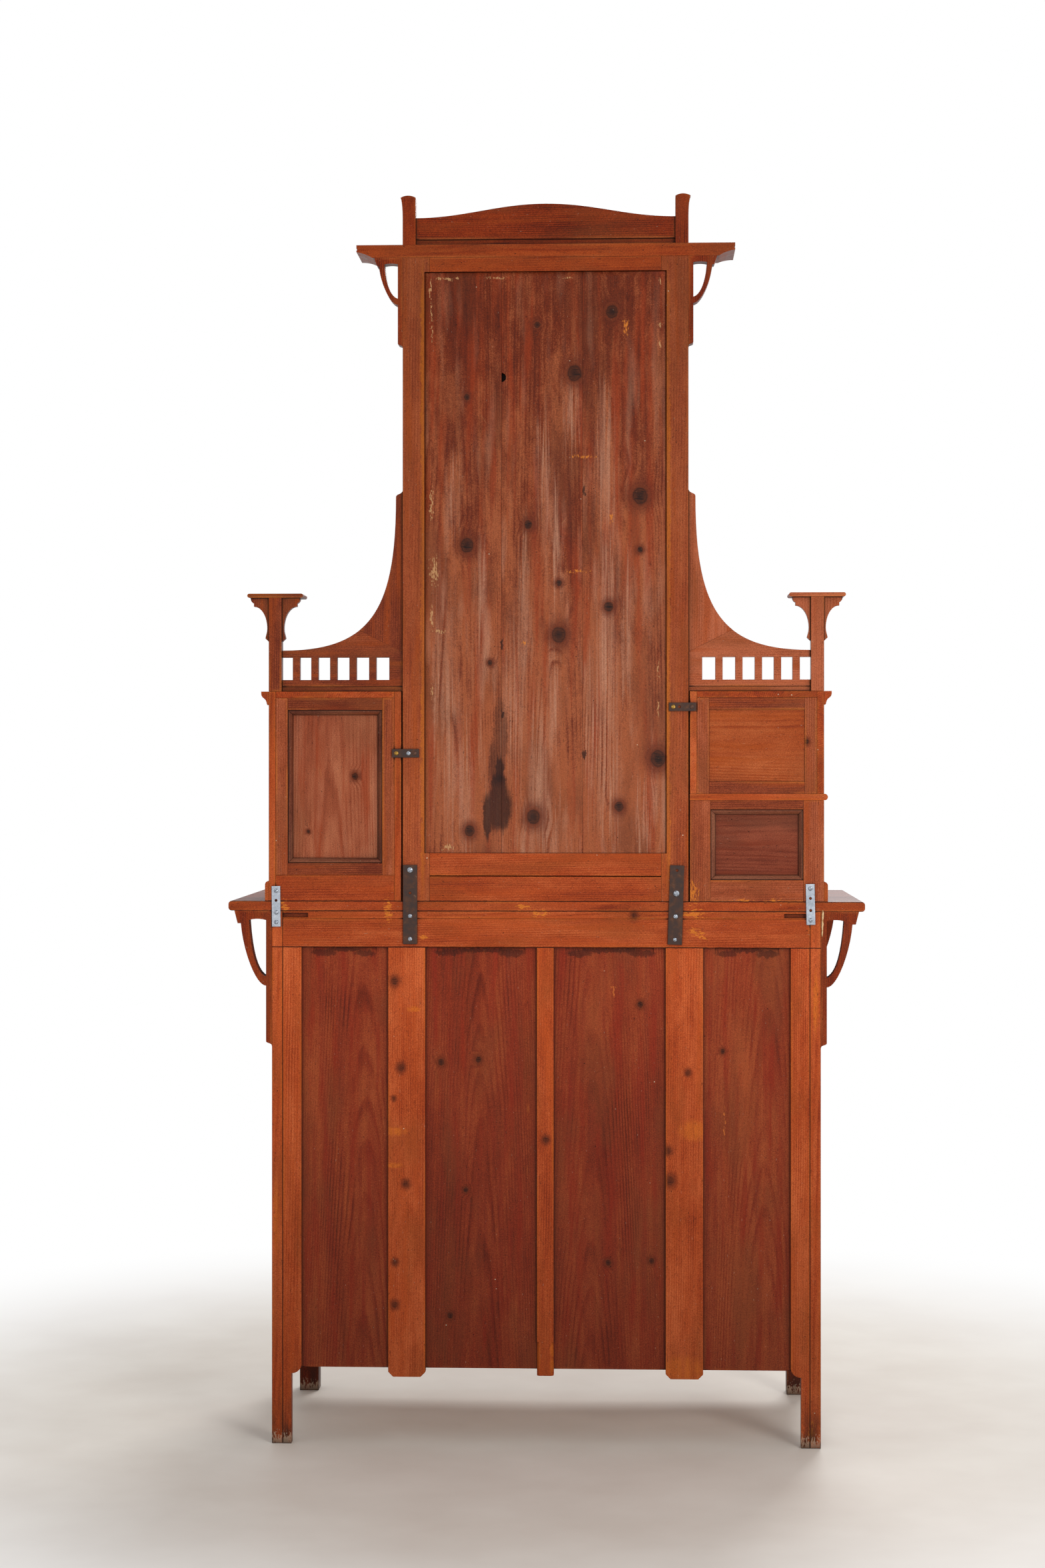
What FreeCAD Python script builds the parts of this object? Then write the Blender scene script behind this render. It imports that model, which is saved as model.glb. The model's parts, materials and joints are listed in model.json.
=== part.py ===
# Mirror-back sideboard: a cupboard base, two end cupboards, fretted galleries and a tall mirror frame.
# Millimetres. Left and right are as seen from the front: +X right, +Y to the rear, +Z up.
# The origin lies on the floor, under the middle of the whole piece.
import FreeCAD, Part
import os

from FreeCAD import Vector

# Base carcase
CASE_WIDTH = 1014.0
CASE_DEPTH = 460.0
TOP_HEIGHT = 1005.0
TOP_THICKNESS = 18.0
TOP_WING = 81.0
TOP_OVERHANG = 25.0
TOP_NOSING = 6.0
FRONT_LEG = 38.0
REAR_LEG_WIDTH = 20.0
REAR_LEG_DEPTH = 40.0
SIDE_RECESS = 3.0
SIDE_THICKNESS = 18.0
SIDE_RAIL_HEIGHT = 60.0
SIDE_RAIL_LOW = 140.0
SIDE_PANEL_THICKNESS = 8.0
BOTTOM_TOP = 178.0
BOTTOM_THICKNESS = 20.0
SIDE_BAY = 203.5
PARTITION_THICKNESS = 18.0
SHELF_TOP = 627.0
SHELF_THICKNESS = 18.0
SHELF_SETBACK = 42.0

# Joints shared by all frames: grooves, their tongues and running clearances
GROOVE_DEPTH = 8.0
GROOVE_FIT = 0.1
GROOVE_SLACK = 0.5
TENON_LENGTH = 20.0
TENON_THICKNESS = 8.0
RUNNING_GAP = 0.3

# Back of the base
BACK_THICKNESS = 20.0
BACK_STILE_WIDTH = 35.0
BACK_FOOT_WIDTH = 16.0
BACK_SHOULDER_TOP = 146.0
BACK_SHOULDER_DROP = 16.0
BACK_RAIL_HEIGHT = 53.0
BACK_STRIP_HEIGHT = 14.0
STRIP_SLOT_LENGTH = 47.0
STRIP_SLOT_HEIGHT = 8.0
STRIP_SLOT_DEPTH = 7.0
STRIP_SLOT_RISE = 2.0
WIDE_MUNTIN = 69.0
WIDE_MUNTIN_END = 125.0
CENTRE_MUNTIN = 31.0
CENTRE_MUNTIN_END = 129.0
CENTRE_FOOT_LENGTH = 62.0
CENTRE_FOOT_CHAMFER = 4.0
MUNTIN_CHAMFER = 9.0
BACK_PANEL_BOTTOM = 141.0
BACK_PANEL_RECESS = 6.0
BACK_PANEL_THICKNESS = 10.0
PANEL_BEVEL_HEIGHT = 14.0
PANEL_BEVEL_DEPTH = 4.0
PANEL_BEVEL_MARGIN = 22.0

# Front rails and drawer runners
RAIL_THICKNESS = 22.0
TOP_RAIL_HEIGHT = 45.0
DRAWER_OPENING = 166.0
DRAWER_RAIL_HEIGHT = 26.0
APRON_BOTTOM = 122.0
APRON_RISE = 18.0
RUNNER_WIDTH = 20.0
RUNNER_HEIGHT = 14.0
GUIDE_HEIGHT = 20.0

# Drawers
DRAWER_FRONT_THICKNESS = 20.0
DRAWER_GAP = 1.5
DRAWER_SIDE = 10.0
DRAWER_SIDE_DROP = 4.0
DRAWER_REAR_SPACE = 40.0
DRAWER_BOTTOM = 5.0
DRAWER_BOTTOM_RISE = 8.0
DRAWER_GROOVE = 5.0

# Doors and their furniture
DOOR_THICKNESS = 20.0
DOOR_STILE = 42.0
DOOR_RAIL = 46.0
DOOR_PANEL = 6.0
DOOR_GLASS = 4.0
END_DOOR_STILE = 30.0
END_DOOR_RAIL = 30.0
FIELD_HEIGHT = 5.0
FIELD_BEVEL = 22.0
HINGE_LENGTH = 60.0
HINGE_INSET = 75.0
END_HINGE_LENGTH = 39.0
END_HINGE_INSET = 34.0
HINGE_BARREL = 3.5
HINGE_PIN = 1.6
HINGE_PIN_PLAY = 0.05
HINGE_LEAF = 1.0
HINGE_LEAF_PLAY = 0.2
HINGE_REACH = 18.0
HINGE_BARREL_SPACE = 0.5
KNOB_ROSETTE = 14.0
KNOB_RADIUS = 12.0
KNOB_NECK = 4.5
KNOB_LENGTH = 24.0

# Brackets under the wings of the top and under the cornice
BRACKET_THICKNESS = 27.0
BRACKET_END_SLOPE = 6.0
WING_SETBACK = 11.0
WING_ARM = 23.5
WING_ARM_TIP = 12.0
WING_BATTEN = 11.0
WING_DROP = 252.0
WING_STRUT = 15.0
WING_ROOT = 139.0
CORNICE_SETBACK = 3.0
CORNICE_ARM = 16.0
CORNICE_ARM_TIP = 9.0
CORNICE_BATTEN = 9.0
CORNICE_DROP = 167.0
CORNICE_STRUT = 10.0
CORNICE_ROOT = 87.0

# End cupboards
END_FRAME_GAP = 2.5
END_OVERHANG = 6.0
END_DEPTH = 235.0
END_HEIGHT = 388.0
END_SIDE = 13.0
END_BOARD = 12.0
END_RAIL_THICKNESS = 16.0
END_PLINTH = 48.0
END_FRIEZE = 14.0
END_SHELF_RISE = 162.0
END_SHELF_SETBACK = 30.0
END_BACK = 16.0
END_BACK_STILE = 22.5
END_BACK_RAIL = 22.5
END_PANEL_THICKNESS = 6.0
END_PANEL_RECESS = 8.0
FLUSH_PANEL_RECESS = 1.5
BEAD_WIDTH = 9.5
BEAD_DEPTH = 6.5
NICHE_HEIGHT = 187.0
SMALL_FLOOR_NOSING = 7.0
NICHE_STILE = 38.0
NICHE_TOP_RAIL = 17.0
NICHE_LOW_RAIL = 40.0
COLUMN_INSET = 17.0
COLUMN_SHAFT = 9.0
COLUMN_NECK = 7.5
COLUMN_FOOT = 14.0
COLUMN_FOOT_HEIGHT = 10.0
END_CORNICE_REACH = 14.0
END_CORNICE_HEIGHT = 25.0
SKIRTING_REACH = 7.0
SKIRTING_HEIGHT = 37.0

# Mirror frame
FRAME_WIDTH = 528.0
FRAME_DEPTH = 30.0
FRAME_STILE = 50.0
FRAME_HEIGHT = 1190.0
FRAME_TOP_RAIL = 36.0
FRAME_FOOT_RAIL = 46.0
FRAME_LOW_RAIL = 51.0
FRAME_RAIL_GAP = 1.5
REBATE_WIDTH = 9.5
REBATE_DEPTH = 22.0
MIRROR_THICKNESS = 4.0
BACKBOARD_THICKNESS = 16.0
BACKBOARD_PLAY = 0.5
BACKBOARD_BEVEL = 10.0
BACKBOARD_BEVEL_DEPTH = 3.0
BACKBOARD_LEFT_WIDTH = 154.0
BACKBOARD_RIGHT_WIDTH = 142.0

# Cornice and crest
CORNICE_OVERHANG = 86.0
CORNICE_FRONT_OVERHANG = 77.0
CORNICE_THICKNESS = 24.0
CORNICE_COVE_WIDTH = 30.0
CORNICE_COVE_HEIGHT = 11.0
CORNICE_GROOVE = 1.2
CREST_POST = 24.0
CREST_POST_HEIGHT = 91.0
CREST_POST_FLARE = 4.0
CREST_STRIP = 10.0
CREST_STRIP_RECESS = 7.0
CREST_END_HEIGHT = 50.0
CREST_MIDDLE_HEIGHT = 75.0
CREST_THICKNESS = 14.0
CREST_RECESS = 4.0

# Galleries over the end cupboards
GALLERY_SILL = 9.0
GALLERY_SILL_DEPTH = 20.0
FRET_RECESS = 6.0
FRET_THICKNESS = 14.0
FRET_LOW_RAIL = 12.5
FRET_OPENING = 41.5
FRET_TOP_RAIL = 13.0
FRET_COUNT = 6
FRET_WIDTH_STEP = 0.8
FRET_BAR = 13.5
FRET_INNER_END = 25.5
SWEEP_TAIL = 13.0
SWEEP_RISE = 283.0
SWEEP_TIP = 14.0
SWEEP_FULLNESS = 0.76
SWEEP_JOINT_RISE = 10.0
SWEEP_JOINT_SLOPE = 0.5
POST = 24.0
CAP_REACH = 40.0
CAP_THICKNESS = 7.5
CAP_BRACKET_REACH = 34.0
CAP_BRACKET_DROP = 82.0
CAP_BRACKET_THICKNESS = 14.0
CAP_BRACKET_SPACE = 16.0

# Mending plates on the back
STRAP_THICKNESS = 3.0
LONG_STRAP_LENGTH = 146.0
LONG_STRAP_WIDTH = 26.0
LONG_STRAP_PITCH = 42.5
LONG_STRAP_HOLES = 4
SHORT_STRAP_LENGTH = 50.0
SHORT_STRAP_WIDTH = 15.5
SHORT_STRAP_END_HOLE = 17.0
SHORT_STRAP_MIDDLE_HOLE = 5.6
ZINC_THICKNESS = 2.0
ZINC_LENGTH = 75.0
ZINC_WIDTH = 16.0
ZINC_INNER_HOLE = 11.1
ZINC_OUTER_HOLE = 29.1
STRAP_HOLE = 2.6
LONG_STRAP_DROP = 6.0
RIGHT_LONG_INSET = 14.0
LEFT_LONG_INSET = 23.0
LEFT_LONG_TILT = 1.8
RIGHT_SHORT_INSET = 8.0
RIGHT_SHORT_RISE = 273.5
LEFT_SHORT_INSET = 13.5
LEFT_SHORT_RISE = 359.0
RIGHT_ZINC_INSET = 8.0
RIGHT_ZINC_DROP = 10.0
RIGHT_ZINC_TILT = 0.6
LEFT_ZINC_INSET = 19.0
LEFT_ZINC_DROP = 4.5
LEFT_ZINC_TILT = 1.2

# Places worked out from the sizes above
REAR = (CASE_DEPTH + TOP_OVERHANG + STRAP_THICKNESS) / 2 - STRAP_THICKNESS
FRONT = REAR - CASE_DEPTH
HALF = CASE_WIDTH / 2
TOP_UNDER = TOP_HEIGHT - TOP_THICKNESS
SIDE_INNER = HALF - SIDE_RECESS - SIDE_THICKNESS
LEG_INNER = HALF - FRONT_LEG
BACK_FACE = REAR - BACK_THICKNESS
BAY_OUTER = LEG_INNER - SIDE_BAY
BAY_INNER = BAY_OUTER - PARTITION_THICKNESS
BACK_RAIL_TOP = TOP_UNDER - BACK_STRIP_HEIGHT
BACK_RAIL_LOW = BACK_RAIL_TOP - BACK_RAIL_HEIGHT
TOP_RAIL_LOW = TOP_UNDER - TOP_RAIL_HEIGHT
DRAWER_RAIL_TOP = TOP_RAIL_LOW - DRAWER_OPENING
DRAWER_RAIL_LOW = DRAWER_RAIL_TOP - DRAWER_RAIL_HEIGHT
DOOR_GAP = 2 * HINGE_LEAF + HINGE_LEAF_PLAY
TONGUE = GROOVE_DEPTH - GROOVE_SLACK
FRAME_HALF = FRAME_WIDTH / 2
FRAME_INNER = FRAME_HALF - FRAME_STILE
FRAME_TOP = TOP_HEIGHT + FRAME_HEIGHT
CORNICE_TOP = FRAME_TOP + CORNICE_THICKNESS
END_INNER = FRAME_HALF + END_FRAME_GAP
END_OUTER = HALF + END_OVERHANG
END_FRONT = REAR - END_DEPTH
END_TOP = TOP_HEIGHT + END_HEIGHT
END_FLOOR = TOP_HEIGHT + END_PLINTH
END_DOOR_TOP = END_TOP - END_BOARD - END_FRIEZE
SMALL_FLOOR_BOTTOM = TOP_HEIGHT + NICHE_HEIGHT
SMALL_FLOOR = SMALL_FLOOR_BOTTOM + END_BOARD


def block(x0, x1, y0, y1, z0, z1):
    """A square-edged board between two corners."""
    return Part.makeBox(x1 - x0, y1 - y0, z1 - z0, Vector(x0, y0, z0))


def outline(place, start, *steps):
    """A closed wire; a step holds a line's end, an arc's middle and end, or a curve's two handles and end."""
    edges = []
    here = start
    for step in steps + ([start],):
        points = [place(*point) for point in [here] + step]
        here = step[-1]
        if len(points) == 2 and points[0].distanceToPoint(points[1]) > 1e-6:
            edges.append(Part.LineSegment(*points).toShape())
        if len(points) == 3:
            edges.append(Part.Arc(*points).toShape())
        if len(points) == 4:
            curve = Part.BezierCurve()
            curve.setPoles(points)
            edges.append(curve.toShape())
    return Part.Wire(edges)


def upright(y0, y1, start, *steps):
    """A board cut to an outline of (x, z) points, from one depth to another."""
    wire = outline(lambda x, z: Vector(x, y0, z), start, *steps)
    return Part.Face(wire).extrude(Vector(0, y1 - y0, 0))


def moulded_slab(x0, x1, y0, y1, start, *steps):
    """A slab with one moulding on its front and both ends; points are (distance in from the edge, z)."""
    far = (x1 - x0) + (y1 - y0)
    path = steps + ([(far, steps[-1][-1][1])], [(far, start[1])])
    left = outline(lambda inset, z: Vector(x0 + inset, y0, z), start, *path)
    right = outline(lambda inset, z: Vector(x1 - inset, y0, z), start, *path)
    front = outline(lambda inset, z: Vector(x0, y0 + inset, z), start, *path)
    depth = Vector(0, y1 - y0, 0)
    ends = Part.Face(left).extrude(depth).common(Part.Face(right).extrude(depth))
    return ends.common(Part.Face(front).extrude(Vector(x1 - x0, 0, 0)))


def turned(x, y, z, axis, start, *steps):
    """A turned piece; points are (radius, distance along the axis)."""
    across = Vector(1, 0, 0)
    wire = outline(lambda r, d: Vector(x, y, z) + across * r + axis * d, start, *steps)
    return Part.Face(wire).revolve(Vector(x, y, z), axis, 360)


def mirrored(solids):
    """The same pieces on the other side of the middle."""
    return [solid.mirror(Vector(0, 0, 0), Vector(1, 0, 0)) for solid in solids]


def both(solids):
    """Pieces made for the right side, with their pair on the left."""
    return solids + mirrored(solids)


def joined(first, *others):
    """One solid from pieces cut out of one board."""
    return first.fuse(list(others)).removeSplitter()


def frame(x0, x1, z0, z1, y0, y1, stile, low_rail, high_rail, slot):
    """Two grooved stiles and two rails whose tongues enter the grooves; slot is the groove's two depths."""
    left = x0 + stile
    right = x1 - stile
    tongue = (slot[0] + GROOVE_FIT, slot[1] - GROOVE_FIT)
    left_groove = block(left - GROOVE_DEPTH, left, *slot, z0, z1)
    right_groove = block(right, right + GROOVE_DEPTH, *slot, z0, z1)
    low = z0 + low_rail
    high = z1 - high_rail
    low_groove = block(x0, x1, *slot, low - GROOVE_DEPTH, low)
    high_groove = block(x0, x1, *slot, high, high + GROOVE_DEPTH)
    low_piece = joined(
        block(left, right, y0, y1, z0, low), block(left - TONGUE, right + TONGUE, *tongue, z0, low))
    high_piece = joined(
        block(left, right, y0, y1, high, z1), block(left - TONGUE, right + TONGUE, *tongue, high, z1))
    return [
        block(x0, left, y0, y1, z0, z1).cut(left_groove),
        block(right, x1, y0, y1, z0, z1).cut(right_groove),
        low_piece.cut(low_groove),
        high_piece.cut(high_groove),
    ]


def panel(x0, x1, z0, z1, stile, low_rail, high_rail, slot):
    """A plain panel whose edges lie in the grooves of a frame of the same size."""
    return block(
        x0 + stile - TONGUE, x1 - stile + TONGUE, slot[0] + GROOVE_FIT, slot[1] - GROOVE_FIT,
        z0 + low_rail - TONGUE, z1 - high_rail + TONGUE)


def raised_field(x0, x1, z0, z1, y, height, bevel):
    """The bevelled field that stands up from the front of a panel."""
    wires = []
    for inset, depth in ((GROOVE_SLACK, y), (bevel, y - height)):
        corners = [(x0 + inset, z0 + inset), (x1 - inset, z0 + inset),
                   (x1 - inset, z1 - inset), (x0 + inset, z1 - inset)]
        wires.append(Part.makePolygon([Vector(x, depth, z) for x, z in corners + corners[:1]]))
    return Part.makeLoft(wires, True, True)


def beads(x0, x1, z0, z1, y):
    """Four mitred quarter-round beads in the corner between a frame's inner edge and its panel."""
    w = BEAD_WIDTH
    d = BEAD_DEPTH

    def strip(place, run):
        wire = outline(place, (0, 0), [(w, 0)], [(w * 0.7, d * 0.7), (0, d)])
        return Part.Face(wire).extrude(run)

    mitres = [
        [(x0, z0), (x1, z0), (x1 - w, z0 + w), (x0 + w, z0 + w)],
        [(x0, z1), (x1, z1), (x1 - w, z1 - w), (x0 + w, z1 - w)],
        [(x0, z0), (x0, z1), (x0 + w, z1 - w), (x0 + w, z0 + w)],
        [(x1, z0), (x1, z1), (x1 - w, z1 - w), (x1 - w, z0 + w)],
    ]
    lengthwise = Vector(x1 - x0, 0, 0)
    upwards = Vector(0, 0, z1 - z0)
    strips = [
        strip(lambda a, b: Vector(x0, y + b, z0 + a), lengthwise),
        strip(lambda a, b: Vector(x0, y + b, z1 - a), lengthwise),
        strip(lambda a, b: Vector(x0 + a, y + b, z0), upwards),
        strip(lambda a, b: Vector(x1 - a, y + b, z0), upwards),
    ]
    return [
        length.common(upright(y, y + d, corners[0], *[[corner] for corner in corners[1:]]))
        for length, corners in zip(strips, mitres)
    ]


# Legs and panelled sides of the base

side_slot = (HALF - SIDE_RECESS - SIDE_THICKNESS / 2 - SIDE_PANEL_THICKNESS / 2 - GROOVE_FIT,
             HALF - SIDE_RECESS - SIDE_THICKNESS / 2 + SIDE_PANEL_THICKNESS / 2 + GROOVE_FIT)
side_tongue = (side_slot[0] + GROOVE_FIT, side_slot[1] - GROOVE_FIT)
side_front = FRONT + FRONT_LEG
side_rear = REAR - REAR_LEG_DEPTH
side_low = SIDE_RAIL_LOW + SIDE_RAIL_HEIGHT
side_high = TOP_UNDER - SIDE_RAIL_HEIGHT
side_grooves = (side_front - GROOVE_DEPTH, side_rear + GROOVE_DEPTH)
side_tongues = (side_front - TONGUE, side_rear + TONGUE)
side_groove = block(*side_slot, *side_grooves, SIDE_RAIL_LOW, TOP_UNDER)

front_leg = block(LEG_INNER, HALF, FRONT, side_front, 0, TOP_UNDER)
rear_leg = block(HALF - REAR_LEG_WIDTH, HALF, side_rear, REAR, 0, TOP_UNDER)
side_panel = block(*side_tongue, *side_tongues, side_low - TONGUE, side_high + TONGUE)


def side_rail(z0, z1, groove_z):
    """A rail between the two legs of one side, grooved along the edge that holds the panel."""
    rail = block(SIDE_INNER, HALF - SIDE_RECESS, side_front, side_rear, z0, z1)
    tongues = block(*side_tongue, *side_tongues, z0, z1)
    groove = block(*side_slot, *side_grooves, groove_z, groove_z + GROOVE_DEPTH)
    return joined(rail, tongues).cut(groove)


side_rails = [
    side_rail(SIDE_RAIL_LOW, side_low, side_low - GROOVE_DEPTH),
    side_rail(side_high, TOP_UNDER, side_high),
]

# Framed back of the base: stiles with shaped feet, top rail, muntins and four panels

back_tongue = (REAR - BACK_PANEL_RECESS - BACK_PANEL_THICKNESS, REAR - BACK_PANEL_RECESS)
back_slot = (back_tongue[0] - GROOVE_FIT, back_tongue[1] + GROOVE_FIT)
back_edge = HALF - REAR_LEG_WIDTH
stile_inner = back_edge - BACK_STILE_WIDTH
foot_inner = back_edge - BACK_FOOT_WIDTH


def back_groove(x0, x1):
    """The groove for a panel's edge, from the panel's foot up through the tongue in the top rail."""
    return block(x0, x1, *back_slot, BACK_PANEL_BOTTOM, BACK_RAIL_LOW + GROOVE_DEPTH)


def back_tenon(x0, x1):
    """The tongue on top of an upright, held by the top rail's groove."""
    return block(x0, x1, *back_tongue, BACK_RAIL_LOW, BACK_RAIL_LOW + TONGUE)


shoulder_end = BACK_SHOULDER_TOP - BACK_SHOULDER_DROP
back_stile = joined(
    upright(
        BACK_FACE, REAR, (back_edge, 0), [(back_edge, BACK_RAIL_LOW)], [(stile_inner, BACK_RAIL_LOW)],
        [(stile_inner, BACK_SHOULDER_TOP)],
        [(stile_inner + 0.3 * (foot_inner - stile_inner), shoulder_end + 0.3 * BACK_SHOULDER_DROP),
         (foot_inner, shoulder_end)],
        [(foot_inner, 0)]),
    back_tenon(stile_inner, back_edge)).cut(back_groove(stile_inner, stile_inner + GROOVE_DEPTH))

muntin_inner = (BAY_INNER + BAY_OUTER - WIDE_MUNTIN) / 2
muntin_outer = muntin_inner + WIDE_MUNTIN
wide_muntin = joined(
    upright(
        BACK_FACE, REAR, (muntin_inner + MUNTIN_CHAMFER, WIDE_MUNTIN_END),
        [(muntin_outer - MUNTIN_CHAMFER, WIDE_MUNTIN_END)],
        [(muntin_outer, WIDE_MUNTIN_END + MUNTIN_CHAMFER)], [(muntin_outer, BACK_RAIL_LOW)],
        [(muntin_inner, BACK_RAIL_LOW)], [(muntin_inner, WIDE_MUNTIN_END + MUNTIN_CHAMFER)]),
    back_tenon(muntin_inner, muntin_outer))
wide_muntin = wide_muntin.cut(back_groove(muntin_inner, muntin_inner + GROOVE_DEPTH))
wide_muntin = wide_muntin.cut(back_groove(muntin_outer - GROOVE_DEPTH, muntin_outer))

centre = CENTRE_MUNTIN / 2
centre_foot_top = CENTRE_MUNTIN_END + CENTRE_FOOT_LENGTH
centre_foot = block(-centre, centre, BACK_FACE, REAR, CENTRE_MUNTIN_END, centre_foot_top)
foot_arrises = [
    edge for edge in centre_foot.Edges
    if edge.BoundBox.YMin > (BACK_FACE + REAR) / 2 and edge.BoundBox.ZLength > CENTRE_FOOT_LENGTH / 2]
centre_muntin = joined(
    block(-centre, centre, BACK_FACE, REAR, centre_foot_top, BACK_RAIL_LOW),
    centre_foot.makeChamfer(CENTRE_FOOT_CHAMFER, foot_arrises), back_tenon(-centre, centre))
centre_muntin = centre_muntin.cut(back_groove(-centre, -centre + GROOVE_DEPTH))
centre_muntin = centre_muntin.cut(back_groove(centre - GROOVE_DEPTH, centre))

back_top_rail = block(-back_edge, back_edge, BACK_FACE, REAR, BACK_RAIL_LOW, BACK_RAIL_TOP)
back_top_rail = back_top_rail.cut(
    block(-back_edge, back_edge, *back_slot, BACK_RAIL_LOW, BACK_RAIL_LOW + GROOVE_DEPTH))
slot_low = BACK_RAIL_TOP + STRIP_SLOT_RISE
slot_high = slot_low + STRIP_SLOT_HEIGHT
strip_slot = block(
    back_edge - STRIP_SLOT_LENGTH, back_edge, REAR - STRIP_SLOT_DEPTH, REAR, slot_low, slot_high)
back_strip = block(-back_edge, back_edge, BACK_FACE, REAR, BACK_RAIL_TOP, TOP_UNDER).cut(both([strip_slot]))


def back_panel(x0, x1):
    """A panel between two uprights, with the bevel planed on its rear face to enter the top rail."""
    board = block(x0 - TONGUE, x1 + TONGUE, *back_tongue, BACK_PANEL_BOTTOM, BACK_RAIL_LOW + TONGUE)
    rear = back_tongue[1]
    low = BACK_RAIL_LOW - PANEL_BEVEL_HEIGHT
    high = BACK_RAIL_LOW + TONGUE
    bevel = outline(
        lambda y, z: Vector(x0 + PANEL_BEVEL_MARGIN, y, z),
        (rear, low), [(rear - PANEL_BEVEL_DEPTH, high)], [(rear, high)])
    return board.cut(Part.Face(bevel).extrude(Vector(x1 - x0 - 2 * PANEL_BEVEL_MARGIN, 0, 0)))


# Bottom, partitions, shelves and front rails

apron_middle = APRON_BOTTOM + APRON_RISE
apron = upright(
    FRONT, FRONT + RAIL_THICKNESS, (-LEG_INNER, APRON_BOTTOM),
    [(-LEG_INNER * 0.6, APRON_BOTTOM), (-LEG_INNER * 0.4, apron_middle), (0, apron_middle)],
    [(LEG_INNER * 0.4, apron_middle), (LEG_INNER * 0.6, APRON_BOTTOM), (LEG_INNER, APRON_BOTTOM)],
    [(LEG_INNER, BOTTOM_TOP)], [(-LEG_INNER, BOTTOM_TOP)])
top_rail = block(-LEG_INNER, LEG_INNER, FRONT, FRONT + RAIL_THICKNESS, TOP_RAIL_LOW, TOP_UNDER)
legs = [front_leg, rear_leg]
bottom_board = block(
    -SIDE_INNER, SIDE_INNER, FRONT + RAIL_THICKNESS, BACK_FACE,
    BOTTOM_TOP - BOTTOM_THICKNESS, BOTTOM_TOP).cut(both(legs))
partition = block(BAY_INNER, BAY_OUTER, FRONT, BACK_FACE, BOTTOM_TOP, TOP_UNDER).cut(top_rail)

# The bays between legs and partitions, left to right
BAYS = {
    "left": (-LEG_INNER, -BAY_OUTER),
    "centre": (-BAY_INNER, BAY_INNER),
    "right": (BAY_OUTER, LEG_INNER),
}


def shelf(x0, x1):
    """A fixed shelf in one bay of the base."""
    board = block(x0, x1, FRONT + SHELF_SETBACK, BACK_FACE, SHELF_TOP - SHELF_THICKNESS, SHELF_TOP)
    return board.cut(legs)


def drawer_rail(x0, x1):
    """The rail between a drawer and the door below it."""
    return block(x0, x1, FRONT, FRONT + RAIL_THICKNESS, DRAWER_RAIL_LOW, DRAWER_RAIL_TOP)


def runner(x0, x1, z0, height):
    """A strip along the depth of the base, notched round the legs."""
    return block(x0, x1, FRONT + RAIL_THICKNESS, BACK_FACE, z0, z0 + height).cut(legs)


base_shelves = [shelf(-BAY_INNER, BAY_INNER)] + both([shelf(BAY_OUTER, SIDE_INNER)])
front_rails = [apron, top_rail] + [drawer_rail(*bay) for bay in BAYS.values()]
drawer_runners = []
for strip_low in (DRAWER_RAIL_TOP - RUNNER_HEIGHT, TOP_RAIL_LOW):
    drawer_runners += both([
        runner(BAY_INNER - RUNNER_WIDTH, BAY_INNER, strip_low, RUNNER_HEIGHT),
        runner(BAY_OUTER, BAY_OUTER + RUNNER_WIDTH, strip_low, RUNNER_HEIGHT),
        runner(LEG_INNER - RUNNER_WIDTH, SIDE_INNER, strip_low, RUNNER_HEIGHT),
    ])
drawer_runners += both([runner(LEG_INNER, SIDE_INNER, DRAWER_RAIL_TOP, GUIDE_HEIGHT)])

# Top of the base with its wings

top_half = HALF + TOP_WING
nose = TOP_NOSING
sideboard_top = moulded_slab(
    -top_half, top_half, FRONT - TOP_OVERHANG, REAR, (nose, TOP_UNDER),
    [(0.3 * nose, TOP_UNDER + 0.3 * nose), (0, TOP_UNDER + nose)], [(0, TOP_HEIGHT - nose)],
    [(0.3 * nose, TOP_HEIGHT - 0.3 * nose), (nose, TOP_HEIGHT)])


def bracket(side, top, y0, reach, arm, arm_tip, batten, drop, strut, root):
    """A pierced bracket: an arm under a board, a batten on the upright and a curved strut between them."""
    def at(out, down):
        return (side + out, top - down)

    strut_out = reach - arm_tip
    span = strut_out - batten
    fall = root - arm
    y1 = y0 + BRACKET_THICKNESS
    solid = upright(
        y0, y1, at(0, 0), [at(reach, 0)], [at(reach - BRACKET_END_SLOPE, arm)], [at(strut_out, arm)],
        [at(strut_out - 0.09 * span, arm + 0.45 * fall), at(batten + 0.4 * span, root), at(batten, root)],
        [at(batten, drop - batten)],
        [at(batten, drop - 0.4 * batten), at(0, drop - 0.8 * batten), at(0, drop)])
    hole_top = arm - 0.4 * strut
    inner = strut_out - strut
    crown = hole_top - 0.15 * strut
    hole = upright(
        y0, y1, at(batten, hole_top), [at((batten + inner) / 2, crown), at(inner, hole_top)],
        [at(inner - 0.06 * span, hole_top + 0.4 * fall), at(batten + 0.45 * span, root - 1.6 * strut),
         at(batten, root - 1.15 * strut)])
    return solid.cut(hole)


wing_reach = TOP_WING - WING_SETBACK
wing_sizes = (wing_reach, WING_ARM, WING_ARM_TIP, WING_BATTEN, WING_DROP, WING_STRUT, WING_ROOT)
wing_brackets = both([
    bracket(HALF, TOP_UNDER, REAR - BRACKET_THICKNESS, *wing_sizes),
    bracket(HALF, TOP_UNDER, FRONT, *wing_sizes),
])


# Doors, hinges and knobs

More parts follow.
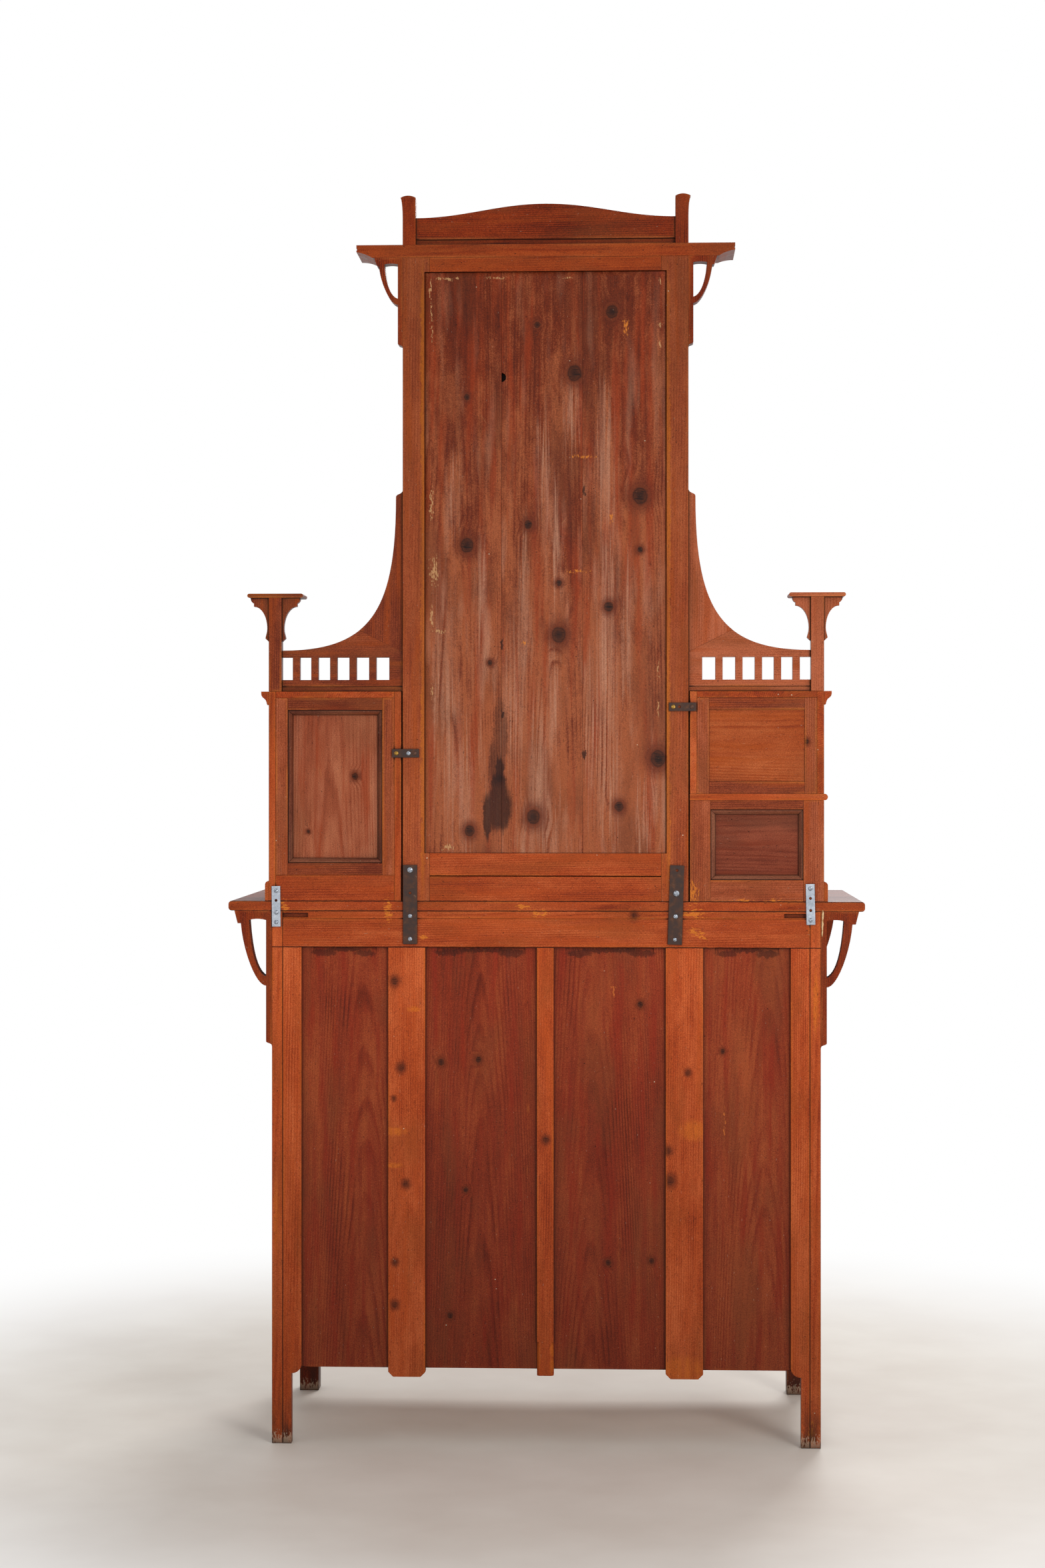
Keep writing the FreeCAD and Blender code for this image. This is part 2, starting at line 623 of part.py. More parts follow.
def knob(x, front, z):
    """A turned knob on its rosette, standing out from a front."""
    r = KNOB_RADIUS
    rosette = KNOB_ROSETTE
    neck = KNOB_NECK
    length = KNOB_LENGTH
    return turned(
        x, front, z, Vector(0, -1, 0), (0, 0), [(rosette, 0)],
        [(0.95 * rosette, 0.08 * length), (1.4 * neck, 0.16 * length)],
        [(neck, 0.25 * length), (neck, 0.42 * length)], [(r, 0.58 * length)],
        [(r, 0.8 * length), (0.6 * r, length), (0, length)])


def hinge(x, y, z, length, door_side):
    """A butt hinge with its pin on the line (x, y): the leaf on the case, and the leaf on the door."""
    low = z - length / 2
    knuckle = length / 3
    start = HINGE_BARREL + RUNNING_GAP
    seat = DOOR_GAP / 2

    def leaf(side, z0, z1, from_y):
        edges = sorted((side * (seat - HINGE_LEAF), side * seat))
        return block(x + edges[0], x + edges[1], y + from_y, y + start + HINGE_REACH, z0, z1)

    def barrel(radius, z0, z1):
        return Part.makeCylinder(radius, z1 - z0, Vector(x, y, z0))

    first = low + knuckle
    second = low + 2 * knuckle
    high = low + length
    case_side = -door_side
    on_case = joined(
        leaf(case_side, low, high, start), leaf(case_side, low, first, 0), leaf(case_side, second, high, 0),
        barrel(HINGE_BARREL, low, first), barrel(HINGE_BARREL, second, high), barrel(HINGE_PIN, low, high))
    middle = (first + RUNNING_GAP, second - RUNNING_GAP)
    on_door = joined(
        leaf(door_side, low, high, start), leaf(door_side, *middle, 0), barrel(HINGE_BARREL, *middle))
    return on_case, on_door.cut(barrel(HINGE_PIN + HINGE_PIN_PLAY, low, high))


def door(x0, x1, z0, z1, front, door_side, stile, rail, hinge_length, hinge_inset, glazed):
    """An inset door in an opening, hung on the opening's left (door_side 1) or right (door_side -1)."""
    sides = (x0 + DOOR_GAP, x1 - DOOR_GAP, z0 + DOOR_GAP, z1 - DOOR_GAP)
    middle = front + DOOR_THICKNESS / 2
    half_slot = (DOOR_GLASS if glazed else DOOR_PANEL) / 2 + GROOVE_FIT
    slot = (middle - half_slot, middle + half_slot)
    members = frame(*sides, front, front + DOOR_THICKNESS, stile, rail, rail, slot)
    fill = panel(*sides, stile, rail, rail, slot)
    if not glazed:
        field = raised_field(
            sides[0] + stile, sides[1] - stile, sides[2] + rail, sides[3] - rail,
            slot[0] + GROOVE_FIT, FIELD_HEIGHT, FIELD_BEVEL)
        fill = joined(fill, field)
    hung = (x0 if door_side > 0 else x1) + door_side * DOOR_GAP / 2
    pin_y = front - HINGE_BARREL - HINGE_BARREL_SPACE
    free = sides[1] if door_side > 0 else sides[0]
    furniture = [knob(free - door_side * stile / 2, front, (z0 + z1) / 2)]
    case_leaves = []
    for z in (z0 + hinge_inset, z1 - hinge_inset):
        on_case, on_door = hinge(hung, pin_y, z, hinge_length, door_side)
        case_leaves.append(on_case)
        furniture.append(on_door)
    return members, [fill], furniture, case_leaves


def base_door(bay, door_side):
    """A door of the base, from the bottom board to the drawer rail."""
    return door(
        *BAYS[bay], BOTTOM_TOP, DRAWER_RAIL_LOW, FRONT, door_side,
        DOOR_STILE, DOOR_RAIL, HINGE_LENGTH, HINGE_INSET, False)


# Drawers

def drawer(x0, x1, knob_offsets):
    """A drawer in one bay: its front, its box with the bottom in grooves, and its knobs."""
    left = x0 + DRAWER_GAP
    right = x1 - DRAWER_GAP
    low = DRAWER_RAIL_TOP + DRAWER_GAP
    high = TOP_RAIL_LOW - DRAWER_GAP
    box_front = FRONT + DRAWER_FRONT_THICKNESS
    box_rear = BACK_FACE - DRAWER_REAR_SPACE
    box_low = DRAWER_RAIL_TOP + RUNNING_GAP
    box_high = high - DRAWER_SIDE_DROP
    base_low = box_low + DRAWER_BOTTOM_RISE
    base = block(
        left + DRAWER_SIDE - DRAWER_GROOVE, right - DRAWER_SIDE + DRAWER_GROOVE,
        box_front - DRAWER_GROOVE, box_rear, base_low, base_low + DRAWER_BOTTOM)
    face = block(left, right, FRONT, box_front, low, high).cut(base)
    box = [
        block(left, left + DRAWER_SIDE, box_front, box_rear, box_low, box_high).cut(base),
        block(right - DRAWER_SIDE, right, box_front, box_rear, box_low, box_high).cut(base),
        block(left + DRAWER_SIDE, right - DRAWER_SIDE, box_rear - DRAWER_SIDE, box_rear,
              base_low + DRAWER_BOTTOM, box_high),
        base,
    ]
    knobs = [knob((x0 + x1) / 2 + offset, FRONT, (low + high) / 2) for offset in knob_offsets]
    return face, box, knobs


# End cupboards: a tall glazed one on the right, a small one over an open niche on the left

end_left = END_INNER + END_SIDE
end_right = END_OUTER - END_SIDE
end_back = REAR - END_BACK
slot_width = END_PANEL_THICKNESS + 2 * GROOVE_FIT
end_slot = (REAR - END_PANEL_RECESS - slot_width, REAR - END_PANEL_RECESS)
flush_slot = (REAR - FLUSH_PANEL_RECESS - slot_width, REAR - FLUSH_PANEL_RECESS)


def end_sides(low):
    """The two side boards of an end cupboard."""
    return [
        block(END_INNER, end_left, END_FRONT, REAR, low, END_TOP),
        block(end_right, END_OUTER, END_FRONT, REAR, low, END_TOP),
    ]


def end_top():
    """The top board of an end cupboard and the rail under its front edge."""
    low = END_TOP - END_BOARD
    return [
        block(end_left, end_right, END_FRONT, REAR, low, END_TOP),
        block(end_left, end_right, END_FRONT, END_FRONT + END_RAIL_THICKNESS, END_DOOR_TOP, low),
    ]


def end_door(low, glazed):
    """The door of an end cupboard, hung on the outer side."""
    return door(
        end_left, end_right, low, END_DOOR_TOP, END_FRONT, -1,
        END_DOOR_STILE, END_DOOR_RAIL, END_HINGE_LENGTH, END_HINGE_INSET, glazed)


def sight(x0, x1, z0, z1, stile, low_rail, high_rail):
    """The opening inside a frame."""
    return x0 + stile, x1 - stile, z0 + low_rail, z1 - high_rail


end_floor_low = END_FLOOR - END_BOARD
plinth_rear = END_FRONT + END_RAIL_THICKNESS
shelf_front = END_FRONT + END_SHELF_SETBACK
shelf_top = END_FLOOR + END_SHELF_RISE
tall_case = end_sides(TOP_HEIGHT) + end_top() + [
    block(end_left, end_right, END_FRONT, end_back, end_floor_low, END_FLOOR),
    block(end_left, end_right, END_FRONT, plinth_rear, TOP_HEIGHT, end_floor_low),
    block(end_left, end_right, end_back, REAR, TOP_HEIGHT, END_FLOOR),
    block(end_left, end_right, shelf_front, end_back, shelf_top - END_BOARD, shelf_top),
]
tall_back = (end_left, end_right, END_FLOOR, END_TOP - END_BOARD)
tall_members = (END_BACK_STILE, END_BACK_RAIL, END_BACK_RAIL)
tall_frame = frame(*tall_back, end_back, REAR, *tall_members, end_slot)
tall_panel = panel(*tall_back, *tall_members, end_slot)
bead_seat = end_slot[1] - GROOVE_FIT
tall_beads = beads(*sight(*tall_back, *tall_members), bead_seat)

small_nose = END_BOARD / 2
small_floor = moulded_slab(
    END_INNER - SMALL_FLOOR_NOSING, END_OUTER + SMALL_FLOOR_NOSING, END_FRONT - SMALL_FLOOR_NOSING, REAR,
    (small_nose, SMALL_FLOOR_BOTTOM), [(0, SMALL_FLOOR_BOTTOM + small_nose), (small_nose, SMALL_FLOOR)])
frame_front = REAR - FRAME_DEPTH
beside_frame = block(0, END_INNER, frame_front, REAR, TOP_HEIGHT, END_TOP)
small_case = end_sides(SMALL_FLOOR) + end_top() + [small_floor.cut(beside_frame)]
small_back = (end_left, end_right, SMALL_FLOOR, END_TOP - END_BOARD)
small_frame = frame(*small_back, end_back, REAR, *tall_members, flush_slot)
small_panel = panel(*small_back, *tall_members, flush_slot)

niche_plinth = [
    block(END_INNER, END_OUTER, END_FRONT, end_back, end_floor_low, END_FLOOR),
    block(END_INNER, END_OUTER, END_FRONT, plinth_rear, TOP_HEIGHT, end_floor_low),
    block(END_INNER, end_left, plinth_rear, end_back, TOP_HEIGHT, end_floor_low),
    block(end_right, END_OUTER, plinth_rear, end_back, TOP_HEIGHT, end_floor_low),
]
niche_back = (END_INNER, END_OUTER, TOP_HEIGHT, SMALL_FLOOR_BOTTOM)
niche_members = (NICHE_STILE, NICHE_LOW_RAIL, NICHE_TOP_RAIL)
niche_frame = frame(*niche_back, end_back, REAR, *niche_members, end_slot)
niche_panel = panel(*niche_back, *niche_members, end_slot)
niche_beads = beads(*sight(*niche_back, *niche_members), bead_seat)


def column(x):
    """A turned column at the front of the niche, with a foot and a cap."""
    tall = SMALL_FLOOR_BOTTOM - END_FLOOR
    foot = COLUMN_FOOT
    step = COLUMN_FOOT_HEIGHT
    return turned(
        x, END_FRONT + COLUMN_INSET, END_FLOOR, Vector(0, 0, 1), (0, 0), [(foot, 0)], [(foot, 0.6 * step)],
        [(COLUMN_SHAFT, step)],
        [(COLUMN_SHAFT, 0.3 * tall), (COLUMN_NECK, 0.6 * tall), (COLUMN_NECK, tall - step)],
        [(foot, tall - 0.6 * step)], [(foot, tall)], [(0, tall)])


niche_columns = [column(END_INNER + COLUMN_INSET), column(END_OUTER - COLUMN_INSET)]


def band(reach, start, *steps):
    """Three mitred lengths of moulding round the front and sides of an end cupboard."""
    x0 = END_INNER - reach
    x1 = END_OUTER + reach
    y0 = END_FRONT - reach
    slab = moulded_slab(x0, x1, y0, REAR, start, *steps)
    plans = [
        [(x0, y0), (x1, y0), (END_OUTER, END_FRONT), (END_INNER, END_FRONT)],
        [(x0, y0), (END_INNER, END_FRONT), (END_INNER, frame_front), (x0, frame_front)],
        [(x1, y0), (END_OUTER, END_FRONT), (END_OUTER, REAR), (x1, REAR)],
    ]
    lengths = []
    for plan in plans:
        corners = [Vector(x, y, TOP_HEIGHT) for x, y in plan + plan[:1]]
        region = Part.Face(Part.makePolygon(corners)).extrude(Vector(0, 0, END_HEIGHT))
        lengths.append(slab.common(region))
    return lengths


cove = END_CORNICE_REACH
rise = END_CORNICE_HEIGHT
end_cornice = band(
    cove, (0.8 * cove, END_TOP - rise), [(0.7 * cove, END_TOP - 0.8 * rise)],
    [(0.55 * cove, END_TOP - 0.45 * rise), (0.1 * cove, END_TOP - 0.55 * rise), (0, END_TOP - 0.2 * rise)],
    [(0, END_TOP)])
skirting_top = TOP_HEIGHT + SKIRTING_HEIGHT
skirting = band(
    SKIRTING_REACH, (0, TOP_HEIGHT), [(0, skirting_top - SKIRTING_REACH)],
    [(0.3 * SKIRTING_REACH, skirting_top - 0.3 * SKIRTING_REACH), (SKIRTING_REACH, skirting_top)])

# Mirror frame with its glass and backboard

rebate_front = REAR - REBATE_DEPTH
rebate_half = FRAME_INNER + REBATE_WIDTH
foot_rail_top = TOP_HEIGHT + FRAME_FOOT_RAIL
low_rail_low = foot_rail_top + FRAME_RAIL_GAP
low_rail_top = low_rail_low + FRAME_LOW_RAIL
top_rail_low = FRAME_TOP - FRAME_TOP_RAIL
rebate_low = low_rail_top - REBATE_WIDTH
rebate_high = top_rail_low + REBATE_WIDTH
rebate = block(-rebate_half, rebate_half, rebate_front, REAR, rebate_low, rebate_high)
tenon_front = frame_front + (FRAME_DEPTH - TENON_THICKNESS) / 2


def frame_rail(z0, z1, tenon_low, tenon_high):
    """A rail across the mirror frame and the tenons on its ends."""
    reach = FRAME_INNER + TENON_LENGTH
    tenons = block(-reach, reach, tenon_front, tenon_front + TENON_THICKNESS, tenon_low, tenon_high)
    rail = block(-FRAME_INNER, FRAME_INNER, frame_front, REAR, z0, z1)
    return joined(rail, tenons).cut(rebate), tenons


frame_rails = []
frame_stile = block(FRAME_INNER, FRAME_HALF, frame_front, REAR, TOP_HEIGHT, FRAME_TOP).cut(rebate)
for z0, z1, tenon_low, tenon_high in (
        (TOP_HEIGHT, foot_rail_top, TOP_HEIGHT + TENON_THICKNESS, foot_rail_top - TENON_THICKNESS),
        (low_rail_low, low_rail_top, low_rail_low + TENON_THICKNESS, rebate_low - TENON_THICKNESS),
        (top_rail_low, FRAME_TOP, rebate_high + TENON_THICKNESS, FRAME_TOP - TENON_THICKNESS)):
    rail, tenons = frame_rail(z0, z1, tenon_low, tenon_high)
    frame_rails.append(rail)
    frame_stile = frame_stile.cut(tenons)

board_half = rebate_half - BACKBOARD_PLAY
board_low = rebate_low
board_high = rebate_high - BACKBOARD_PLAY
glass_rear = rebate_front + MIRROR_THICKNESS
board_rear = glass_rear + BACKBOARD_THICKNESS
mirror_glass = block(-board_half, board_half, rebate_front, glass_rear, board_low, board_high)
bevel_front = board_rear - BACKBOARD_BEVEL_DEPTH
field_half = board_half - BACKBOARD_BEVEL
field = Part.makeWedge(
    -board_half, bevel_front, board_low, board_low, -field_half,
    board_half, board_rear, board_high, board_high - BACKBOARD_BEVEL, field_half)
backboard = joined(
    block(-board_half, board_half, glass_rear, bevel_front, board_low, board_high), field)
board_joints = (
    -board_half, BACKBOARD_LEFT_WIDTH - board_half, board_half - BACKBOARD_RIGHT_WIDTH, board_half)
backboards = [
    backboard.common(block(x0, x1, glass_rear, board_rear, board_low, board_high)).Solids[0]
    for x0, x1 in zip(board_joints, board_joints[1:])]

# Cornice, its brackets and the crest

cornice_half = FRAME_HALF + CORNICE_OVERHANG
cornice_front = frame_front - CORNICE_FRONT_OVERHANG
lip = FRAME_TOP + CORNICE_COVE_HEIGHT
groove_low = lip + (CORNICE_TOP - lip) / 4
groove_high = lip + (CORNICE_TOP - lip) / 2
cornice = moulded_slab(
    -cornice_half, cornice_half, cornice_front, REAR, (CORNICE_COVE_WIDTH, FRAME_TOP),
    [(0.45 * CORNICE_COVE_WIDTH, FRAME_TOP + 0.7 * CORNICE_COVE_HEIGHT), (0, lip)],
    [(0, groove_low)], [(CORNICE_GROOVE, groove_low)], [(CORNICE_GROOVE, groove_high)], [(0, groove_high)],
    [(0, CORNICE_TOP)])
cornice_reach = CORNICE_OVERHANG - CORNICE_COVE_WIDTH - CORNICE_SETBACK
cornice_brackets = both([bracket(
    FRAME_HALF, FRAME_TOP, REAR - BRACKET_THICKNESS, cornice_reach, CORNICE_ARM, CORNICE_ARM_TIP,
    CORNICE_BATTEN, CORNICE_DROP, CORNICE_STRUT, CORNICE_ROOT)])

post_inner = FRAME_HALF - CREST_POST
post_top = CORNICE_TOP + CREST_POST_HEIGHT
flare = CREST_POST_FLARE
crest_post = upright(
    REAR - CREST_POST, REAR, (post_inner, CORNICE_TOP), [(FRAME_HALF, CORNICE_TOP)],
    [(FRAME_HALF, CORNICE_TOP + 0.55 * CREST_POST_HEIGHT)],
    [(FRAME_HALF, CORNICE_TOP + 0.8 * CREST_POST_HEIGHT), (FRAME_HALF + 0.7 * flare, post_top - flare),
     (FRAME_HALF + flare, post_top - flare)],
    [(FRAME_HALF - 0.4 * CREST_POST, post_top), (post_inner, post_top - flare)])
crest_rear = REAR - CREST_RECESS
crest_front = crest_rear - CREST_THICKNESS
crest_low = CORNICE_TOP + CREST_STRIP
crest_end = CORNICE_TOP + CREST_END_HEIGHT
crest_middle = CORNICE_TOP + CREST_MIDDLE_HEIGHT
crest_board = upright(
    crest_front, crest_rear, (-post_inner, crest_low), [(post_inner, crest_low)], [(post_inner, crest_end)],
    [(0.62 * post_inner, crest_end), (0.38 * post_inner, crest_middle), (0, crest_middle)],
    [(-0.38 * post_inner, crest_middle), (-0.62 * post_inner, crest_end), (-post_inner, crest_end)])
crest_strip = block(-post_inner, post_inner, crest_front, REAR - CREST_STRIP_RECESS, CORNICE_TOP, crest_low)

# Galleries: a fretted board that sweeps up to the mirror frame, with a capped post at its outer end

gallery_post_inner = END_OUTER - POST
fret_low = END_TOP + GALLERY_SILL
opening_low = fret_low + FRET_LOW_RAIL
opening_high = opening_low + FRET_OPENING
fret_end = opening_high + FRET_TOP_RAIL
fret_rear = REAR - FRET_RECESS
fret_front = fret_rear - FRET_THICKNESS
tail = FRAME_HALF + SWEEP_TAIL
sweep_top = fret_end + SWEEP_RISE
sweep_width = gallery_post_inner - tail
whole_gallery = upright(
    fret_front, fret_rear, (FRAME_HALF, fret_low),
    [(gallery_post_inner, fret_low)], [(gallery_post_inner, fret_end)],
    [(gallery_post_inner - SWEEP_FULLNESS * sweep_width, fret_end),
     (tail, sweep_top - SWEEP_FULLNESS * SWEEP_RISE), (tail, sweep_top)],
    [(tail, sweep_top + 0.6 * SWEEP_TIP), (FRAME_HALF + 0.2 * SWEEP_TAIL, sweep_top + 0.3 * SWEEP_TIP),
     (FRAME_HALF, sweep_top + SWEEP_TIP)])
joint_low = opening_high + SWEEP_JOINT_RISE
joint_high = joint_low + SWEEP_JOINT_SLOPE * (gallery_post_inner - FRAME_HALF)
above_joint = upright(
    fret_front, fret_rear, (FRAME_HALF, joint_low), [(gallery_post_inner, joint_high)],
    [(gallery_post_inner, sweep_top + SWEEP_TIP)], [(FRAME_HALF, sweep_top + SWEEP_TIP)])
gallery_sweep = whole_gallery.common(above_joint)
gallery_fret = whole_gallery.cut(above_joint)
open_width = gallery_post_inner - FRAME_HALF - FRET_INNER_END - (FRET_COUNT - 1) * FRET_BAR
opening_outer = gallery_post_inner
for count in range(FRET_COUNT):
    from_mean = FRET_WIDTH_STEP * (count - (FRET_COUNT - 1) / 2)
    opening_inner = opening_outer - open_width / FRET_COUNT - from_mean
    gallery_fret = gallery_fret.cut(
        block(opening_inner, opening_outer, fret_front, fret_rear, opening_low, opening_high))
    opening_outer = opening_inner - FRET_BAR
sill_front = fret_rear - GALLERY_SILL_DEPTH
gallery_sill = block(FRAME_HALF, gallery_post_inner, sill_front, fret_rear, END_TOP, fret_low)

cap_low = fret_end + CAP_BRACKET_SPACE + CAP_BRACKET_DROP
gallery_post = block(gallery_post_inner, END_OUTER, REAR - POST, REAR, END_TOP, cap_low)
cap_round = CAP_THICKNESS / 2
post_cap = moulded_slab(
    gallery_post_inner - CAP_REACH, END_OUTER + CAP_REACH, REAR - POST - CAP_REACH, REAR,
    (cap_round, cap_low), [(0, cap_low + cap_round), (cap_round, cap_low + CAP_THICKNESS)])


def cap_bracket():
    """The shaped bracket under a cap, on the outer side of its post."""
    reach = CAP_BRACKET_REACH
    drop = CAP_BRACKET_DROP
    middle = REAR - POST / 2

    def at(out, down):
        return (END_OUTER + out, cap_low - down)

    return upright(
        middle - CAP_BRACKET_THICKNESS / 2, middle + CAP_BRACKET_THICKNESS / 2, at(0, 0), [at(reach, 0)],
        [at(0.95 * reach, 0.09 * drop), at(0.83 * reach, 0.13 * drop)], [at(0.83 * reach, 0.2 * drop)],
        [at(0.45 * reach, 0.2 * drop), at(0.1 * reach, 0.4 * drop), at(0.1 * reach, 0.7 * drop)],
        [at(0.1 * reach, 0.8 * drop), at(0.2 * reach, 0.88 * drop), at(0.2 * reach, 0.92 * drop)],
        [at(0, drop)])


outer_bracket = cap_bracket()
cap_brackets = []
for turn in (0, -90, 180):
    turned_bracket = outer_bracket.copy()
    turned_bracket.rotate(Vector(END_OUTER - POST / 2, REAR - POST / 2, 0), Vector(0, 0, 1), turn)
    cap_brackets.append(turned_bracket)


# Mending plates

def strap(x, z, turn, length, width, thickness, holes):
    """A drilled plate on the back, centred at (x, z); a turn of 0 stands upright, one of 90 degrees lies."""
    plate = block(-width / 2, width / 2, REAR, REAR + thickness, -length / 2, length / 2)
    for hole_z in holes:
        plate = plate.cut(Part.makeCylinder(STRAP_HOLE, thickness, Vector(0, REAR, hole_z), Vector(0, 1, 0)))
    plate.rotate(Vector(0, 0, 0), Vector(0, 1, 0), turn)
    plate.translate(Vector(x, 0, z))
    return plate


def even_holes(count, pitch):
    """Places of evenly spaced holes, about a plate's middle."""
    return [(number - (count - 1) / 2) * pitch for number in range(count)]


long_holes = even_holes(LONG_STRAP_HOLES, LONG_STRAP_PITCH)
long_sizes = (LONG_STRAP_LENGTH, LONG_STRAP_WIDTH, STRAP_THICKNESS, long_holes)
short_holes = (SHORT_STRAP_END_HOLE, -SHORT_STRAP_MIDDLE_HOLE, -SHORT_STRAP_END_HOLE)
short_sizes = (SHORT_STRAP_LENGTH, SHORT_STRAP_WIDTH, STRAP_THICKNESS, short_holes)
zinc_holes = (-ZINC_OUTER_HOLE, -ZINC_INNER_HOLE, ZINC_INNER_HOLE, ZINC_OUTER_HOLE)
zinc_sizes = (ZINC_LENGTH, ZINC_WIDTH, ZINC_THICKNESS, zinc_holes)
long_strap_z = TOP_HEIGHT - LONG_STRAP_DROP
iron_straps = [
    strap(FRAME_HALF - RIGHT_LONG_INSET, long_strap_z, 0, *long_sizes),
    strap(LEFT_LONG_INSET - FRAME_HALF, long_strap_z, -LEFT_LONG_TILT, *long_sizes),
    strap(END_INNER - RIGHT_SHORT_INSET, TOP_HEIGHT + RIGHT_SHORT_RISE, 90, *short_sizes),
    strap(LEFT_SHORT_INSET - END_INNER, TOP_HEIGHT + LEFT_SHORT_RISE, -90, *short_sizes),
]
zinc_plates = [
    strap(HALF - RIGHT_ZINC_INSET, TOP_HEIGHT - RIGHT_ZINC_DROP, RIGHT_ZINC_TILT, *zinc_sizes),
    strap(LEFT_ZINC_INSET - HALF, TOP_HEIGHT - LEFT_ZINC_DROP, LEFT_ZINC_TILT, *zinc_sizes),
]

# Every piece under the name of its node
nodes = {
    "front_legs": both([front_leg.cut(side_groove)]),
    "rear_legs": both([rear_leg.cut(side_groove)]),
    "side_rails": both(side_rails),
    "side_panels": both([side_panel]),
    "back_top_rail": [back_top_rail, back_strip],
    "back_stiles": both([back_stile]),
    "back_muntins": both([wide_muntin]) + [centre_muntin],
    "back_panels": both([back_panel(centre, muntin_inner), back_panel(muntin_outer, stile_inner)]),
    "bottom_board": [bottom_board],
    "partitions": both([partition]),
    "base_shelves": base_shelves,
    "front_rails": front_rails,
    "drawer_runners": drawer_runners,
    "sideboard_top": [sideboard_top],
    "wing_brackets": wing_brackets,
    "tall_cupboard_case": tall_case,
    "small_cupboard_case": mirrored(small_case),
    "cupboard_back_frames": tall_frame + mirrored(small_frame + niche_frame),
    "cupboard_back_panels": [tall_panel] + mirrored([small_panel, niche_panel]),
    "cupboard_back_beads": tall_beads + mirrored(niche_beads),
    "niche_plinth": mirrored(niche_plinth),
    "niche_columns": mirrored(niche_columns),
    "cupboard_cornices": both(end_cornice),
    "cupboard_skirtings": both(skirting),
    "mirror_frame_stiles": both([frame_stile]),
    "mirror_frame_rails": frame_rails,
    "mirror_glass": [mirror_glass],
    "mirror_backboard": backboards,
    "cornice": [cornice],
    "cornice_brackets": cornice_brackets,
    "crest_board": [crest_board, crest_strip],
    "crest_posts": both([crest_post]),
    "gallery_frets": both([gallery_fret, gallery_sill]),
    "gallery_sweeps": both([gallery_sweep]),
    "gallery_posts": both([gallery_post]),
    "post_caps": both([post_cap]),
    "cap_brackets": both(cap_brackets),
    "iron_straps": iron_straps,
    "zinc_plates": zinc_plates,
}

nodes["hinge_leaves"] = []
for side, door_side in (("left", 1), ("centre", 1), ("right", -1)):
    members, fill, furniture, case_leaves = base_door(side, door_side)
    nodes["door_%s" % side] = members + fill
    nodes["door_%s_furniture" % side] = furniture
    nodes["hinge_leaves"] += case_leaves
members, fill, furniture, case_leaves = end_door(END_FLOOR, True)
nodes["tall_door"] = members
nodes["tall_door_glass"] = fill
nodes["tall_door_furniture"] = furniture
nodes["hinge_leaves"] += case_leaves
members, fill, furniture, case_leaves = end_door(SMALL_FLOOR, False)
nodes["small_door"] = mirrored(members + fill)
nodes["small_door_furniture"] = mirrored(furniture)
nodes["hinge_leaves"] += mirrored(case_leaves)

wide_knobs = BAY_INNER / 2
for side, knob_offsets in (("left", [0]), ("centre", [-wide_knobs, wide_knobs]), ("right", [0])):
    face, box, knobs = drawer(*BAYS[side], knob_offsets)
    nodes["drawer_%s_front" % side] = [face]
    nodes["drawer_%s_box" % side] = box
    nodes["drawer_%s_knob" % side] = knobs

os.makedirs("parts", exist_ok=True)
for name, solids in nodes.items():
    Part.makeCompound(solids).exportStep("parts/%s.step" % name)
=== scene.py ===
import json
import math
import random

import bmesh
import bpy
from mathutils import Matrix, Vector

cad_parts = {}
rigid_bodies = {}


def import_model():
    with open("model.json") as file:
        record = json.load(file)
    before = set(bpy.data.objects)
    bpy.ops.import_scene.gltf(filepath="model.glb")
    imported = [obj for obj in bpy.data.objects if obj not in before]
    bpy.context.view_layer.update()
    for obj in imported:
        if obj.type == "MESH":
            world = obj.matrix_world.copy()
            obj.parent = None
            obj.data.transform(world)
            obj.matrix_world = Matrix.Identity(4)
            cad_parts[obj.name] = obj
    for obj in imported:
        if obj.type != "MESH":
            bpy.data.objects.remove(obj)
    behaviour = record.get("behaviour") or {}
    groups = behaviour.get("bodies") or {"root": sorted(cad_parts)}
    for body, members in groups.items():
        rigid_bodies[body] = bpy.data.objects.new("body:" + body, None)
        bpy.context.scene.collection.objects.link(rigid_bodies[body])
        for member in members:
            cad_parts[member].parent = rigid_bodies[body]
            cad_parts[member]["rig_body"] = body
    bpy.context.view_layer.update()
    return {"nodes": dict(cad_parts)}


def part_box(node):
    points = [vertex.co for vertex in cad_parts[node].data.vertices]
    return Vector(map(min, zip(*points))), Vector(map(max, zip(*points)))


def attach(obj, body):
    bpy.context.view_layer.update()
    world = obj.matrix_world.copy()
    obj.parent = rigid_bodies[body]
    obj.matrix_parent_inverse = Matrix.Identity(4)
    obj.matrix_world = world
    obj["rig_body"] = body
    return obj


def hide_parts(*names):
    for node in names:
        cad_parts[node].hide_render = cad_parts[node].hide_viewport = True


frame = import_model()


# Back frame of the base: rear legs, outer stiles, top rail with the strip above it, and three muntins.
# Pine, sawn and planed by hand, tenoned and nailed, brushed with a red-brown stain and never polished here.
# Each board has eased arrises and comes from its own place in the log.
MM = 0.001
ARRIS = 0.9 * MM
ARRIS_ANGLE = math.radians(30)
FLAT_ANGLE = math.radians(0.6)
SHARP_ANGLE = math.radians(50)
FACES_BACK = 0.6


def linear(colour):
    """A colour written as sRGB hex, as the linear RGBA that shaders take."""
    channels = [int(colour[i:i + 2], 16) / 255 for i in (1, 3, 5)]
    return [*(c / 12.92 if c <= 0.04045 else ((c + 0.055) / 1.055) ** 2.4 for c in channels), 1.0]


